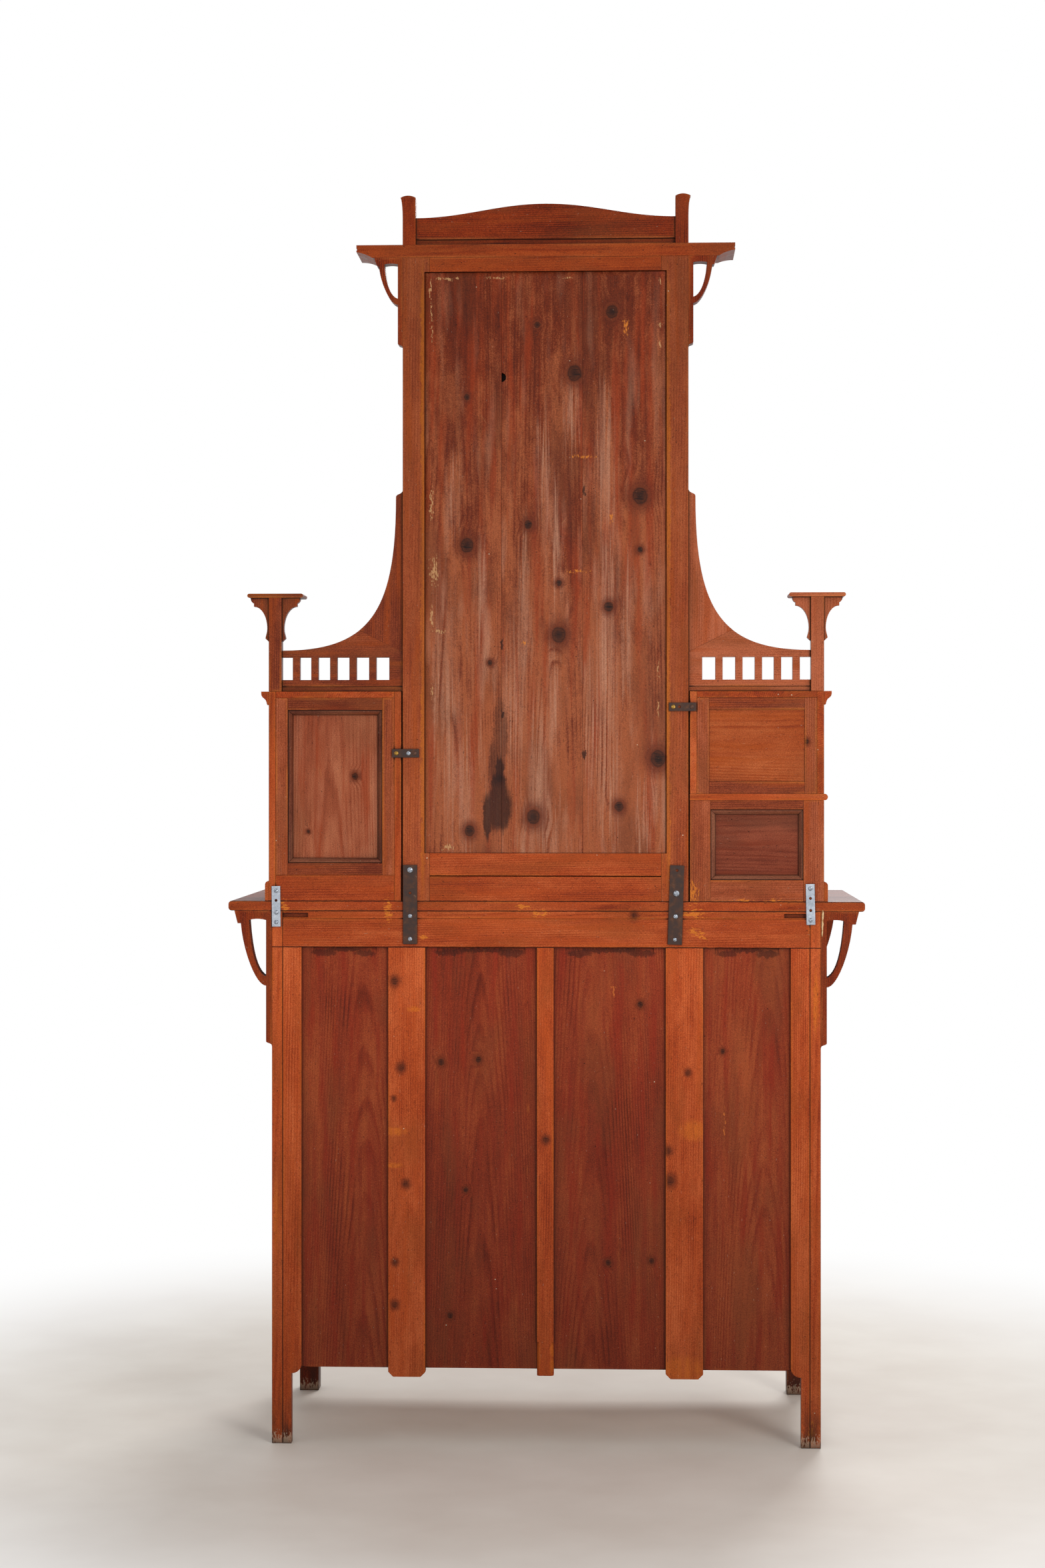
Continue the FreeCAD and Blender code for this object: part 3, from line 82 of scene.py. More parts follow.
def add(tree, kind, inputs=(), out=0, stops=(), **settings):
    """Adds one shader node with its settings. Inputs go by order or by key, and each is a value, a colour
    as hex, or the socket that feeds it."""
    node = tree.nodes.new("ShaderNode" + kind)
    for name, value in settings.items():
        setattr(node, name, value)
    for key, value in inputs.items() if isinstance(inputs, dict) else enumerate(inputs):
        if isinstance(value, bpy.types.NodeSocket):
            tree.links.new(value, node.inputs[key])
        else:
            node.inputs[key].default_value = linear(value) if isinstance(value, str) else value
    for stop in stops[2:]:
        node.color_ramp.elements.new(stop[0])
    for element, (place, colour) in zip(node.color_ramp.elements if stops else (), stops):
        element.position = place
        element.color = linear(colour)
    return node.outputs[out] if node.outputs else None


def new_material(name):
    """An empty material, its node tree, and the socket that says where a point of the piece is."""
    material = bpy.data.materials.new(name)
    material.use_nodes = True
    tree = material.node_tree
    tree.nodes.clear()
    return material, tree, add(tree, "TexCoord", out="Object")


def closed_shells(mesh):
    """The separate solids of a mesh, each as its faces' corners, read in the order they were written."""
    corner = [tuple(round(c, 6) for c in v.co) for v in mesh.vertices]
    shell, open_edges = [], set()
    for face in mesh.polygons:
        loop = [corner[i] for i in face.vertices]
        shell.append(loop)
        for a, b in zip(loop, loop[1:] + loop[:1]):
            if (b, a) in open_edges:
                open_edges.remove((b, a))
            else:
                open_edges.add((a, b))
        if not open_edges:
            yield shell
            shell = []


def eased(shell, arris):
    """One solid as a mesh with whole flat sides and its outer arrises rounded off."""
    bm = bmesh.new()
    corners = {c: bm.verts.new(c) for c in dict.fromkeys(c for loop in shell for c in loop)}
    for loop in shell:
        if len(set(loop)) == len(loop):
            bm.faces.new([corners[c] for c in loop])
    bmesh.ops.dissolve_limit(bm, angle_limit=FLAT_ANGLE, verts=bm.verts, edges=bm.edges)
    arrises = [e for e in bm.edges if e.is_manifold and e.is_convex and e.calc_face_angle() > ARRIS_ANGLE]
    bmesh.ops.bevel(
        bm, geom=arrises, offset=arris, segments=2, profile=0.6, affect="EDGES", clamp_overlap=True)
    return bm


def placed(name, data):
    """An object with this data, put into the scene."""
    item = bpy.data.objects.new(name, data)
    bpy.context.scene.collection.objects.link(item)
    return item


def boards(node, finish, arris=ARRIS, back=None, front=None, shade=None, pierce=None):
    """Stands for a node: its boards with eased arrises, each knowing its length, width, thickness and log.
    A finish is one material or picks one by a board's middle, as shade does for how light the board is.
    Faces that look to the rear or the front take the finish given for them, and pierce cuts a board first."""
    source = frame["nodes"][node]
    log = random.Random(node)
    finishes = []
    points, faces, slots, places, halves, cuts = [], [], [], [], [], []
    for shell in closed_shells(source.data):
        bm = eased(shell, arris)
        if pierce:
            pierce(bm)
        bm.verts.index_update()
        bm.normal_update()
        start = len(points)
        spots = [v.co.copy() for v in bm.verts]
        low = Vector([min(p[i] for p in spots) for i in range(3)])
        high = Vector([max(p[i] for p in spots) for i in range(3)])
        middle, half = (low + high) / 2, (high - low) / 2
        order = sorted(range(3), key=lambda i: -half[i])
        cut = [log.random() for i in range(3)]
        own, rear, fore, light = (f(middle) if callable(f) else f for f in (finish, back, front, shade))
        if light is not None:
            cut[2] = light
        for face in bm.faces:
            wanted = own
            if rear and face.normal.y > FACES_BACK:
                wanted = rear
            elif fore and face.normal.y < -FACES_BACK:
                wanted = fore
            if wanted not in finishes:
                finishes.append(wanted)
            slots.append(finishes.index(wanted))
        points += spots
        faces += [[start + v.index for v in f.verts] for f in bm.faces]
        for p in spots:
            places += [p[i] - middle[i] for i in order]
            halves += [half[i] for i in order]
            cuts += cut
        bm.free()
    mesh = bpy.data.meshes.new(node + "_boards")
    mesh.from_pydata(points, [], faces)
    for name, values in (("board", places), ("half", halves), ("cut", cuts)):
        mesh.attributes.new(name, "FLOAT_VECTOR", "POINT").data.foreach_set("vector", values)
    for material in finishes:
        mesh.materials.append(material)
    mesh.polygons.foreach_set("material_index", slots)
    mesh.shade_smooth()
    mesh.set_sharp_from_angle(angle=SHARP_ANGLE)
    piece = placed(node + "_boards", mesh)
    piece.modifiers.new("face_normals", "WEIGHTED_NORMAL").keep_sharp = True
    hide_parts(node)
    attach(piece, source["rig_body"])
    return piece


def drawn_out(tree, place, long, wide, detail=2.0):
    """Noise stretched along the grain, with marks about this long and wide in millimetres."""
    scale = (1 / (long * MM), 1 / (wide * MM), 1 / (wide * MM))
    stretched = add(tree, "VectorMath", [place, scale], operation="MULTIPLY")
    return add(tree, "TexNoise", {"Vector": stretched, "Scale": 1.0, "Detail": detail})


def patches(tree, place, long, wide, detail, low, high, least=0.0, most=1.0):
    """Drawn-out noise as separate patches, going from least to most between two levels of it."""
    pattern = drawn_out(tree, place, long, wide, detail)
    return add(tree, "MapRange", {0: pattern, 1: low, 2: high, 3: least, 4: most})


def nearest_mark(tree, place, marks):
    """How far a point of the back is from the nearest of some marks, counted in that mark's own radii.
    A mark is its x and z and its half width and half height, in millimetres."""
    nearest = None
    for x, z, half_width, half_height in marks:
        shape = (1 / (half_width * MM), 0.0, 1 / (half_height * MM))
        centre = (x / half_width, 0.0, z / half_height)
        scaled = add(tree, "VectorMath", [place, shape], operation="MULTIPLY")
        away = add(tree, "VectorMath", [scaled, centre], "Value", operation="DISTANCE")
        nearest = add(tree, "Math", [away, nearest], operation="MINIMUM") if nearest else away
    return nearest


SMOOTH = {"interpolation_type": "SMOOTHSTEP"}
LOG_SHIFT = (4.0, 0.08, 0.04)
RIFT_SAWN = (0.0, 0.07, 0.03)
FLAT_SAWN = (0.0, -0.04, 0.05)
RING_WIDTH = 3.7 * MM
RING_WANDER = 14 * MM
RING_RIPPLE = 1.6 * MM
KNOT_LIFT = 5 * MM
DOT_SPACING = 17 * MM
DOT_RADIUS = 1.0 * MM
GRAIN_DEPTH = 0.12 * MM
CORNER_REACH = 14 * MM
SEAM_HALF = 0.9 * MM
FULL_STAIN = 0.5
TONE_STOPS = (0.15, 0.5, 0.85)
FLAME_LICK = 400 * MM
SHADE_AND_SOOT, MUD, TORN_WOOD = "#1d0b06", "#2c170f", "#a88f78"
RUBBED_GREY, WORM_HOLE, FLY_SPECK, INK = "#b07c62", "#1a0906", "#cdb89c", "#33140a"
KNOT_HALO, KNOT_CRACK, SPILT = "#58200f", "#0c0504", "#26100b"


def stained_pine(name, tones, blush, dun, bare, roughness=0.55, pith=RIFT_SAWN, specular=0.09, coat=0.0,
                 rings=1.0, streaks=0.40, mottles=0.40, rubbed=0.0, worn=0.6, shade_and_grime=0.85, dots=True,
                 knots=(), hearts=0.9, chips=(), thin=(), stains=(), runs=8, flames=(), seams=(),
                 uprights=(), rub_and_sheen_below=None, taper=0.012, aged=None):
    """Pine under an old red-brown stain. The eye gets fine growth rings that run into arches where the stain
    has sunk in, long streaks of other tones, thin stain on the arrises, knots with dark hearts, worm holes,
    specks and scratches, painted shade and soiling in corners, soiling at the feet, and a low uneven sheen.
    The tones are a board's dark, middle and light; blush and dun are its redder and its duller streaks, and
    bare is the wood where the stain has gone. Places of marks are x and z on the back, in millimetres, and
    stains go by how much they show."""
    material, tree, place = new_material(name)
    board, half, cut = (
        add(tree, "Attribute", out="Vector", attribute_name=kept) for kept in ("board", "half", "cut"))
    level = add(tree, "SeparateXYZ", [place], "Z")
    shifted = add(tree, "VectorMath", [cut, LOG_SHIFT, board], operation="MULTIPLY_ADD")
    in_log = add(tree, "VectorMath", [shifted, pith], operation="ADD")
    jitter = add(tree, "TexNoise", {"Vector": place, "Scale": 1 / (9 * MM), "Detail": 3.0}, "Color")
    jitter = add(tree, "VectorMath", [jitter, (0.5, 0.5, 0.5)], operation="SUBTRACT")
    ragged = add(tree, "VectorMath", [jitter, (11 * MM,) * 3, place], operation="MULTIPLY_ADD")

    across = add(tree, "VectorMath", [in_log, (0.0, 1.0, 1.0)], operation="MULTIPLY")
    radius = add(tree, "VectorMath", [across], "Value", operation="LENGTH")
    along = add(tree, "SeparateXYZ", [in_log], "X")
    radius = add(tree, "Math", [along, taper, radius], operation="MULTIPLY_ADD")
    bends = [
        (drawn_out(tree, in_log, 700, 120), RING_WANDER), (drawn_out(tree, in_log, 110, 18), RING_RIPPLE)]
    if knots:
        rounded = add(tree, "Mix", {0: 0.4, 4: place, 5: ragged}, 1, data_type="VECTOR")
        knot = nearest_mark(tree, rounded, [(x, z, r, 1.15 * r) for x, z, r in knots])
        round_knot = add(tree, "MapRange", {0: knot, 1: 0.4, 2: 4.5, 3: 1.0, 4: 0.0},
                         interpolation_type="SMOOTHERSTEP")
        bends.append((round_knot, KNOT_LIFT))
    for pattern, depth in bends:
        radius = add(tree, "Math", [pattern, depth, radius], operation="MULTIPLY_ADD")
    ring = add(tree, "Math", [radius, RING_WIDTH], operation="DIVIDE")
    ring = add(tree, "Math", [ring], operation="FRACT")
    late = add(tree, "ValToRGB", [ring], stops=[
        (0.0, "#000000"), (0.45, "#303030"), (0.80, "#ffffff"), (0.94, "#d0d0d0"), (1.0, "#000000")])
    sunk_in = patches(tree, in_log, 150, 30, 4.0, 0.40, 0.64, 0.2)
    late = add(tree, "Math", [late, sunk_in], operation="MULTIPLY")
    # Lighter towards the foot: partly rubbed wear, partly a painted sheen.
    if rub_and_sheen_below:
        rub_and_sheen_mask = add(tree, "MapRange", {0: level, 1: rub_and_sheen_below[0] * MM, 2: rub_and_sheen_below[1] * MM})
        clear = add(tree, "MapRange", {0: rub_and_sheen_mask, 3: 0.5})
        late = add(tree, "Math", [late, clear], operation="MULTIPLY")

    own = add(tree, "SeparateXYZ", [cut], "Z")
    # Fibres and pores are drawn coarser than pine's own, which would be too fine to show.
    streak = drawn_out(tree, in_log, 300, 9, 3.0)
    fibre = drawn_out(tree, in_log, 80, 0.9, 2.0)
    mottle = drawn_out(tree, in_log, 42, 15, 5.0)
    cloud = drawn_out(tree, in_log, 240, 70, 4.0)
    pores = add(tree, "TexNoise", {"Vector": place, "Scale": 1 / (1.7 * MM), "Detail": 1.0})
    parts = [(own, 0.5), (streak, streaks), (fibre, 0.35), (mottle, mottles), (cloud, 0.8), (pores, 0.35)]
    tone = 0.65 - 0.5 * sum(share for pattern, share in parts)
    parts.append((late, -0.32 * rings))
    if rub_and_sheen_below:
        parts.append((rub_and_sheen_mask, rub_and_sheen_below[2]))
    for pattern, share in parts:
        tone = add(tree, "Math", [pattern, share, tone], operation="MULTIPLY_ADD")
    colour = add(tree, "ValToRGB", [tone], stops=list(zip(TONE_STOPS, tones)))

    layers = [
        (patches(tree, in_log, 230, 16, 4.0, 0.50, 0.68, most=0.7), blush),
        (patches(tree, in_log, 170, 48, 5.0, 0.48, 0.66, most=0.5), dun)]
    if flames or stains:
        fingers = drawn_out(tree, in_log, 150, 3.0, 2.0)
        fingers = add(tree, "Math", [fingers, 0.5], operation="SUBTRACT")
        fingers = add(tree, "CombineXYZ", {"Z": fingers})
    if rubbed:
        grey = patches(tree, in_log, 200, 24, 4.0, 0.54, 0.76)
        if rub_and_sheen_below:
            share = add(tree, "MapRange", {0: rub_and_sheen_mask, 3: 0.25})
            grey = add(tree, "Math", [grey, share], operation="MULTIPLY")
        if flames:
            licked = add(tree, "VectorMath", [fingers, (0.0, 0.0, FLAME_LICK), ragged],
                         operation="MULTIPLY_ADD")
            flame = nearest_mark(tree, licked, flames)
            flame = add(tree, "MapRange", {0: flame, 1: 1.35, 2: 0.0}, **SMOOTH)
            licks = patches(tree, in_log, 260, 4.0, 4.0, 0.38, 0.62, 0.15)
            flame = add(tree, "Math", [flame, licks], operation="MULTIPLY")
            grey = add(tree, "Math", [grey, flame], operation="MAXIMUM")
        lines = add(tree, "MapRange", {0: late, 1: 0.25, 2: 0.7, 3: rubbed, 4: 0.1 * rubbed})
        grey = add(tree, "Math", [grey, lines], operation="MULTIPLY")
        layers.append((grey, RUBBED_GREY))
    if knots:
        cover = add(tree, "MapRange", {0: knot, 1: 2.9, 2: 1.3, 4: 0.55}, **SMOOTH)
        layers.append((cover, KNOT_HALO))
        cracks = patches(tree, in_log, 2.2, 16, 1.0, 0.56, 0.64, most=0.8 * hearts)
        heart = add(tree, "Math", [knot, 0.5], operation="MULTIPLY")
        heart = add(tree, "ValToRGB", [heart], stops=[
            (0.0, "#1c0d09"), (0.20, "#2c140d"), (0.38, "#45200f"), (0.43, "#2a120b"), (0.52, "#5c2712"),
            (0.68, "#6c3018"), (0.76, "#4e1d0e"), (0.86, "#642610")])
        cover = add(tree, "MapRange", {0: knot, 1: 1.75, 2: 0.95, 4: hearts})
        layers.append((cover, heart))
        inside = add(tree, "MapRange", {0: knot, 1: 0.9, 2: 0.7})
        cracks = add(tree, "Math", [cracks, inside], operation="MULTIPLY")
        layers.append((cracks, KNOT_CRACK))
    if stains:
        spread = add(tree, "VectorMath", [fingers, (0.0, 0.0, runs * MM), ragged], operation="MULTIPLY_ADD")
        for shown, marks in sorted(stains.items()):
            spill = nearest_mark(tree, spread, marks)
            spill = add(tree, "MapRange", {0: spill, 1: 1.2, 2: 0.75, 4: shown}, **SMOOTH)
            if shown < FULL_STAIN:
                spill = add(tree, "Math", [spill, late], operation="MULTIPLY")
            layers.append((spill, SPILT))
    if thin:
        worn_through = nearest_mark(tree, ragged, thin)
        worn_through = add(tree, "MapRange", {0: worn_through, 1: 1.3, 2: 0.5}, **SMOOTH)
        share = add(tree, "MapRange", {0: streak, 1: 0.35, 2: 0.6, 3: 0.25, 4: 0.75})
        worn_through = add(tree, "Math", [worn_through, share], operation="MULTIPLY")
        layers.append((worn_through, bare))
    flake = drawn_out(tree, in_log, 7, 2.2, 4.0)
    for marks, wood in chips:
        chip = nearest_mark(tree, ragged, marks)
        chip = add(tree, "Math", [flake, 4.2, chip], operation="MULTIPLY_ADD")
        chip = add(tree, "MapRange", {0: chip, 1: 2.75, 2: 2.45, 4: 0.75})
        layers.append((chip, wood))

    inset = add(tree, "VectorMath", [board], operation="ABSOLUTE")
    inset = add(tree, "VectorMath", [half, inset], operation="SUBTRACT")
    inset = [add(tree, "SeparateXYZ", [inset], axis) for axis in "XYZ"]
    least = add(tree, "Math", [inset[0], inset[1]], operation="MINIMUM")
    most = add(tree, "Math", [inset[0], inset[1]], operation="MAXIMUM")
    other = add(tree, "Math", [most, inset[2]], operation="MINIMUM")
    to_arris = add(tree, "Math", [least, other], operation="MAXIMUM")
    near = add(tree, "MapRange", {0: to_arris, 1: 5 * MM, 2: 0.3 * MM})
    chafed = patches(tree, in_log, 130, 30, 3.0, 0.42, 0.70, most=worn)
    chafed = add(tree, "Math", [near, chafed], operation="MULTIPLY")
    layers.append((chafed, bare))

    height = add(tree, "Math", [fibre, late], operation="SUBTRACT")
    if dots:
        slant = add(tree, "MapRange", {0: add(tree, "SeparateXYZ", [cut], "Y"), 3: -1.0})
        slanted = add(tree, "VectorRotate", {"Vector": in_log, "Angle": slant}, rotation_type="Z_AXIS")
        scratch = drawn_out(tree, slanted, 900, 26, 0.0)
        scratch = add(tree, "Math", [scratch, 0.5], operation="SUBTRACT")
        scratch = add(tree, "Math", [scratch], operation="ABSOLUTE")
        scratch = add(tree, "MapRange", {0: scratch, 1: 0.008, 2: 0.003, 4: 0.3})
        here = add(tree, "TexNoise", {"Vector": in_log, "Scale": 1 / (45 * MM), "Detail": 1.0})
        here = add(tree, "MapRange", {0: here, 1: 0.70, 2: 0.80})
        scratch = add(tree, "Math", [scratch, here], operation="MULTIPLY")
        layers.append((scratch, bare))
        layers.append((patches(tree, in_log, 9, 1.6, 2.0, 0.64, 0.74, most=0.6), INK))
        cells = {"Vector": in_log, "Scale": 1 / DOT_SPACING}
        away = add(tree, "TexVoronoi", cells, "Distance")
        chance = add(tree, "TexVoronoi", cells, "Color")
        chance = add(tree, "SeparateColor", [chance], "Red")
        size = DOT_RADIUS / DOT_SPACING
        dot = add(tree, "MapRange", {0: away, 1: 1.2 * size, 2: 0.7 * size, 4: 0.95})
        bored = add(tree, "Math", [chance, 0.82], operation="GREATER_THAN")
        bored = add(tree, "Math", [bored, dot], operation="MULTIPLY")
        layers.append((bored, WORM_HOLE))
        speck = add(tree, "Math", [chance, 0.05], operation="LESS_THAN")
        speck = add(tree, "Math", [speck, dot], operation="MULTIPLY")
        layers.append((speck, FLY_SPECK))
        height = add(tree, "Math", [bored, -3.0, height], operation="MULTIPLY_ADD")

    speckle = add(tree, "MapRange", {0: pores, 1: 0.2, 2: 0.8, 3: 0.75, 4: 1.25})
    if aged:
        low, high, tone_low, tone_high = aged
        ageing = add(tree, "MapRange", {0: level, 1: low * MM, 2: high * MM, 3: tone_low, 4: tone_high})
        speckle = add(tree, "Math", [speckle, ageing], operation="MULTIPLY")
    for share, tint in layers:
        colour = add(tree, "Mix", {0: share, 6: colour, 7: tint}, 2, data_type="RGBA")
    colour = add(tree, "VectorMath", {0: colour, "Scale": speckle}, operation="SCALE")
    soiled = add(tree, "MapRange", {0: level, 1: 105 * MM, 2: 15 * MM, 4: 0.9})
    share = add(tree, "MapRange", {0: mottle, 1: 0.38, 2: 0.60, 3: 0.15})
    soiled = add(tree, "Math", [soiled, share], operation="MULTIPLY")
    stubbed = add(tree, "MapRange", {0: level, 1: 34 * MM, 2: 4 * MM, 3: -0.24, 4: 0.10})
    stubbed = add(tree, "Math", [stubbed, flake], operation="ADD")
    stubbed = add(tree, "MapRange", {0: stubbed, 1: 0.46, 2: 0.52, 4: 0.5})

    # Painted shade: ambient occlusion darkens corners, recesses and the arrises beside them, mixed with
    # soiling.
    open_share = add(tree, "AmbientOcclusion", {"Distance": CORNER_REACH}, "AO", samples=8)
    shade_and_dirt = add(tree, "MapRange", {0: open_share, 1: 0.94, 2: 0.42, 4: shade_and_grime})
    patchy = add(tree, "MapRange", {0: cloud, 1: 0.30, 2: 0.60, 3: 0.65})
    shade_and_dirt = add(tree, "Math", [shade_and_dirt, patchy], operation="MULTIPLY")
    joint = add(tree, "MapRange", {0: to_arris, 1: 2.8 * MM, 2: 1.0 * MM})
    beside = add(tree, "MapRange", {0: open_share, 1: 0.985, 2: 0.90, 4: shade_and_grime})
    joint = add(tree, "Math", [joint, beside], operation="MULTIPLY")
    shade_and_dirt = add(tree, "Math", [shade_and_dirt, joint], operation="MAXIMUM")
    wandering = add(tree, "SeparateXYZ", [ragged], "Z")
    wandering = add(tree, "Mix", {0: 0.15, 2: level, 3: wandering})
    sideways = add(tree, "SeparateXYZ", [place], "X")
    sideways = add(tree, "Math", [sideways], operation="ABSOLUTE")
    joints = [(wandering, seam, 0.9) for seam in seams] + [(sideways, upright, 0.85) for upright in uprights]
    for run, spot, shown in joints:
        gap = add(tree, "Math", [run, spot * MM], operation="SUBTRACT")
        gap = add(tree, "Math", [gap], operation="ABSOLUTE")
        gap = add(tree, "MapRange", {0: gap, 1: 1.5 * SEAM_HALF, 2: 0.6 * SEAM_HALF, 4: shown})
        shade_and_dirt = add(tree, "Math", [shade_and_dirt, gap], operation="MAXIMUM")
    for share, tint in ((soiled, MUD), (stubbed, TORN_WOOD), (shade_and_dirt, SHADE_AND_SOOT)):
        colour = add(tree, "Mix", {0: share, 6: colour, 7: tint}, 2, data_type="RGBA")

    shine = add(tree, "Math", [streak, 0.30, roughness - 0.15], operation="MULTIPLY_ADD")
    bump = add(tree, "Bump", {"Strength": 0.5, "Distance": GRAIN_DEPTH, "Height": height})
    surface = add(tree, "BsdfPrincipled", {
        "Base Color": colour, "Roughness": shine, "Specular IOR Level": specular, "Coat Weight": coat,
        "Coat Roughness": 0.35, "Normal": bump})
    add(tree, "OutputMaterial", {"Surface": surface})
    return material


FRAME_KNOTS = [
    (279, 857, 6), (267, 697, 5.5), (-164, 979, 5), (278, 337, 4), (258, 482, 5), (-226, 546, 5),
    (-230, 491, 7), (-263, 690, 4), (280, 640, 3), (279, 258, 5), (-1, 565, 5), (-24, 288, 4.5)]
FRAME_CHIPS = [
    (291, 985, 9, 24), (43, 995, 16, 8), (10, 983, 18, 7), (-271, 1021, 12, 22), (-271, 982, 20, 12),
    (-274, 950, 12, 9), (-290, 941, 9, 8), (484, 995, 8, 14), (-491, 28, 7, 28), (224, 940, 10, 7)]
FRAME_THIN = [
    (280, 579, 24, 8), (244, 805, 14, 5), (280, 516, 18, 5), (-272, 583, 26, 20), (-252, 144, 40, 24),
    (-12, 148, 5, 16), (-12, 178, 4, 14), (12, 165, 4, 26), (-498, 820, 6, 60), (498, 420, 6, 70)]
BASE_LOW, BASE_HIGH = 150, 870
# Rough back boards: matt red-brown, orange where the stain is thin, darker towards the floor, with fine
# straight lines and small knots.
frame_pine = stained_pine(
    "stained_pine_rough", ("#74260d", "#9c3f19", "#b85a2f"), "#a8461a", "#8a4019", "#ba5f1e",
    knots=FRAME_KNOTS, hearts=0.6, chips=[(FRAME_CHIPS, "#cf7627")], thin=FRAME_THIN, seams=(920,),
    uprights=(487,), aged=(BASE_LOW, BASE_HIGH, 0.70, 1.16))
for node in ("back_stiles", "back_muntins"):
    boards(node, frame_pine, shade=lambda middle: 0.3 if abs(middle.x) < 0.1 else 0.5)
# Shellacked pine, on every side that was made to be seen: deep red-brown, with a soft gloss along the grain.
show_pine = stained_pine(
    "stained_pine_shellacked", ("#4e1a0a", "#702b10", "#8d421f"), "#833614", "#6b3016", "#a85c2a", 0.50,
    specular=0.14, coat=0.12, worn=0.35, dots=False)
boards("rear_legs", show_pine, back=frame_pine, shade=0.5)
# Rails at the top of the base: the same rough boards, with black seams where one lies on another.
rail_pine = stained_pine(
    "stained_pine_rail", ("#74260d", "#9c3f19", "#b85a2f"), "#a8461a", "#8a4019", "#c8702a", worn=0.35,
    knots=FRAME_KNOTS, hearts=0.6, chips=[(FRAME_CHIPS, "#cf7627")], seams=(920, 987, 1005))
boards("back_top_rail", rail_pine, shade=0.4)


# Back panels of the base: four thin wide boards, their edges slipped into the grooves of the frame and their
# top ends bevelled with a few strokes, where the end grain drank the stain. They are darker and redder.
PANEL_KNOTS = [
    (193, 707, 5.5), (124, 712, 5), (-175, 815, 5), (-116, 338, 5), (-196, 342, 4.5), (147, 471, 4),
    (-327, 729, 4), (176, 238, 5)]
PANEL_STAINS = {
    0.6: [
        (412, 909, 24, 7), (372, 915, 34, 4), (334, 908, 20, 6), (180, 910, 26, 6), (119, 914, 60, 4),
        (62, 909, 24, 7), (-62, 909, 24, 7), (-119, 914, 60, 4), (-178, 909, 24, 6), (-334, 909, 20, 6),
        (-372, 915, 34, 4), (-410, 908, 22, 7)],
    0.49: [(-150, 520, 30, 200), (384, 440, 34, 110), (385, 800, 26, 50)],
    0.35: [
        (176, 160, 12, 22), (60, 165, 10, 18), (-60, 160, 12, 20), (-117, 165, 10, 16), (-172, 160, 12, 22)]}
PANEL_CHIPS = [(-126, 838, 3, 10), (-121, 847, 5, 3), (-330, 590, 2, 40)]
# Thin panels: smooth and even, dark red-brown, darkest at the floor, with clear arches and small black knots.
panel_pine = stained_pine(
    "stained_pine_thin_panel", ("#551b0c", "#782c16", "#904323"), "#7c2412", "#6c341b", "#b8642c",
    pith=FLAT_SAWN, rings=0.9, taper=0.035, streaks=0.45, mottles=0.3, worn=0.25, knots=PANEL_KNOTS,
    hearts=0.8, stains=PANEL_STAINS, chips=[(PANEL_CHIPS, "#b8642c")], aged=(BASE_LOW, BASE_HIGH, 0.66, 1.17))


def panel_shade(middle):
    """How light a back panel of the base is, by where it is."""
    if abs(middle.x) > 0.2:
        return 0.5 if middle.x > 0 else 0.62
    return 0.28 if middle.x > 0 else 0.38


boards("back_panels", panel_pine, shade=panel_shade)


# Sides and front of the base: front legs, side rails, side panels and the rails between doors and drawers.
# The same pine, finished to be seen: scraped smooth, stained evenly and rubbed with shellac.

# Darkest red-brown, dull, with little wear, for backs: partly a darker stain, partly painted shade.
dark_stain_and_shade_pine = stained_pine(
    "stained_pine_dark_and_shaded", ("#4c1606", "#7d2b0c", "#9a4319"), "#853612", "#6e3518", "#a85c2c")
for node in ("side_rails", "side_panels", "front_rails"):
    boards(node, show_pine, back=frame_pine)
# Painted shade: the front legs' backs are made darker still, where they lie in shadow.
boards("front_legs", show_pine, back=dark_stain_and_shade_pine, shade=-0.6)


# Inside of the base: bottom board, partitions, shelves, and the runners, guides and kickers of the drawers.
# Plain pine, planed and left bare, gone honey-brown with age; only the partitions' front edges are stained.

# Bare pine: honey-brown and matt, with clear rings.
bare_pine = stained_pine(
    "bare_pine", ("#835128", "#a9733d", "#c69255"), "#b98246", "#9c6a3a", "#cf9f62", 0.62, worn=0.2)
for node in ("bottom_board", "base_shelves", "drawer_runners"):
    boards(node, bare_pine)
boards("partitions", bare_pine, front=show_pine)


# Top of the base: one wide board with a moulded edge, its wings held by a batten and a curved strut
# at each corner. Stained and shellacked above; the back edge keeps the rough stain.
boards("sideboard_top", show_pine, back=rail_pine, shade=0.2)
boards("wing_brackets", show_pine, back=dark_stain_and_shade_pine, shade=0.3)


# End cupboards on the top: a tall one, and a small one over an open niche, each a nailed box with a framed
# back. Their backs took the stain duller than the base; the beads that hold the panels are greyed by dust.
UPPER_CHIPS = [(-363, 1007, 22, 5), (-418, 1007, 16, 5), (-271, 1021, 12, 22), (291, 1015, 9, 16)]
# Cupboard backs: the rough stain again, duller and browner, with a seam along the foot.
upper_pine = stained_pine(
    "stained_pine_dull", ("#642613", "#8e4224", "#ab5c3c"), "#974014", "#7e4122", "#c06c2a",
    knots=[(369, 1034, 5), (-481, 1300, 4)], seams=(1005,), chips=[(UPPER_CHIPS, "#cf7627")])
# Dusty beads: greyed red-brown, made nearly black in the mitres by painted shade and soiling.
bead_pine = stained_pine(
    "stained_pine_dusty", ("#452016", "#683626", "#824e39"), "#74381f", "#5f3c2e", "#93664a", 0.60)
# Panel of the tall cupboard: flat-sawn, pinkish, rubbed a little.
tall_panel_pine = stained_pine(
    "stained_pine_panel_pink", ("#6a2d19", "#8e472d", "#ab6546"), "#8f3a1c", "#80492f", "#bb7445",
    pith=FLAT_SAWN, rubbed=0.25, knots=[(353, 1236, 5.5), (440, 1133, 3)])
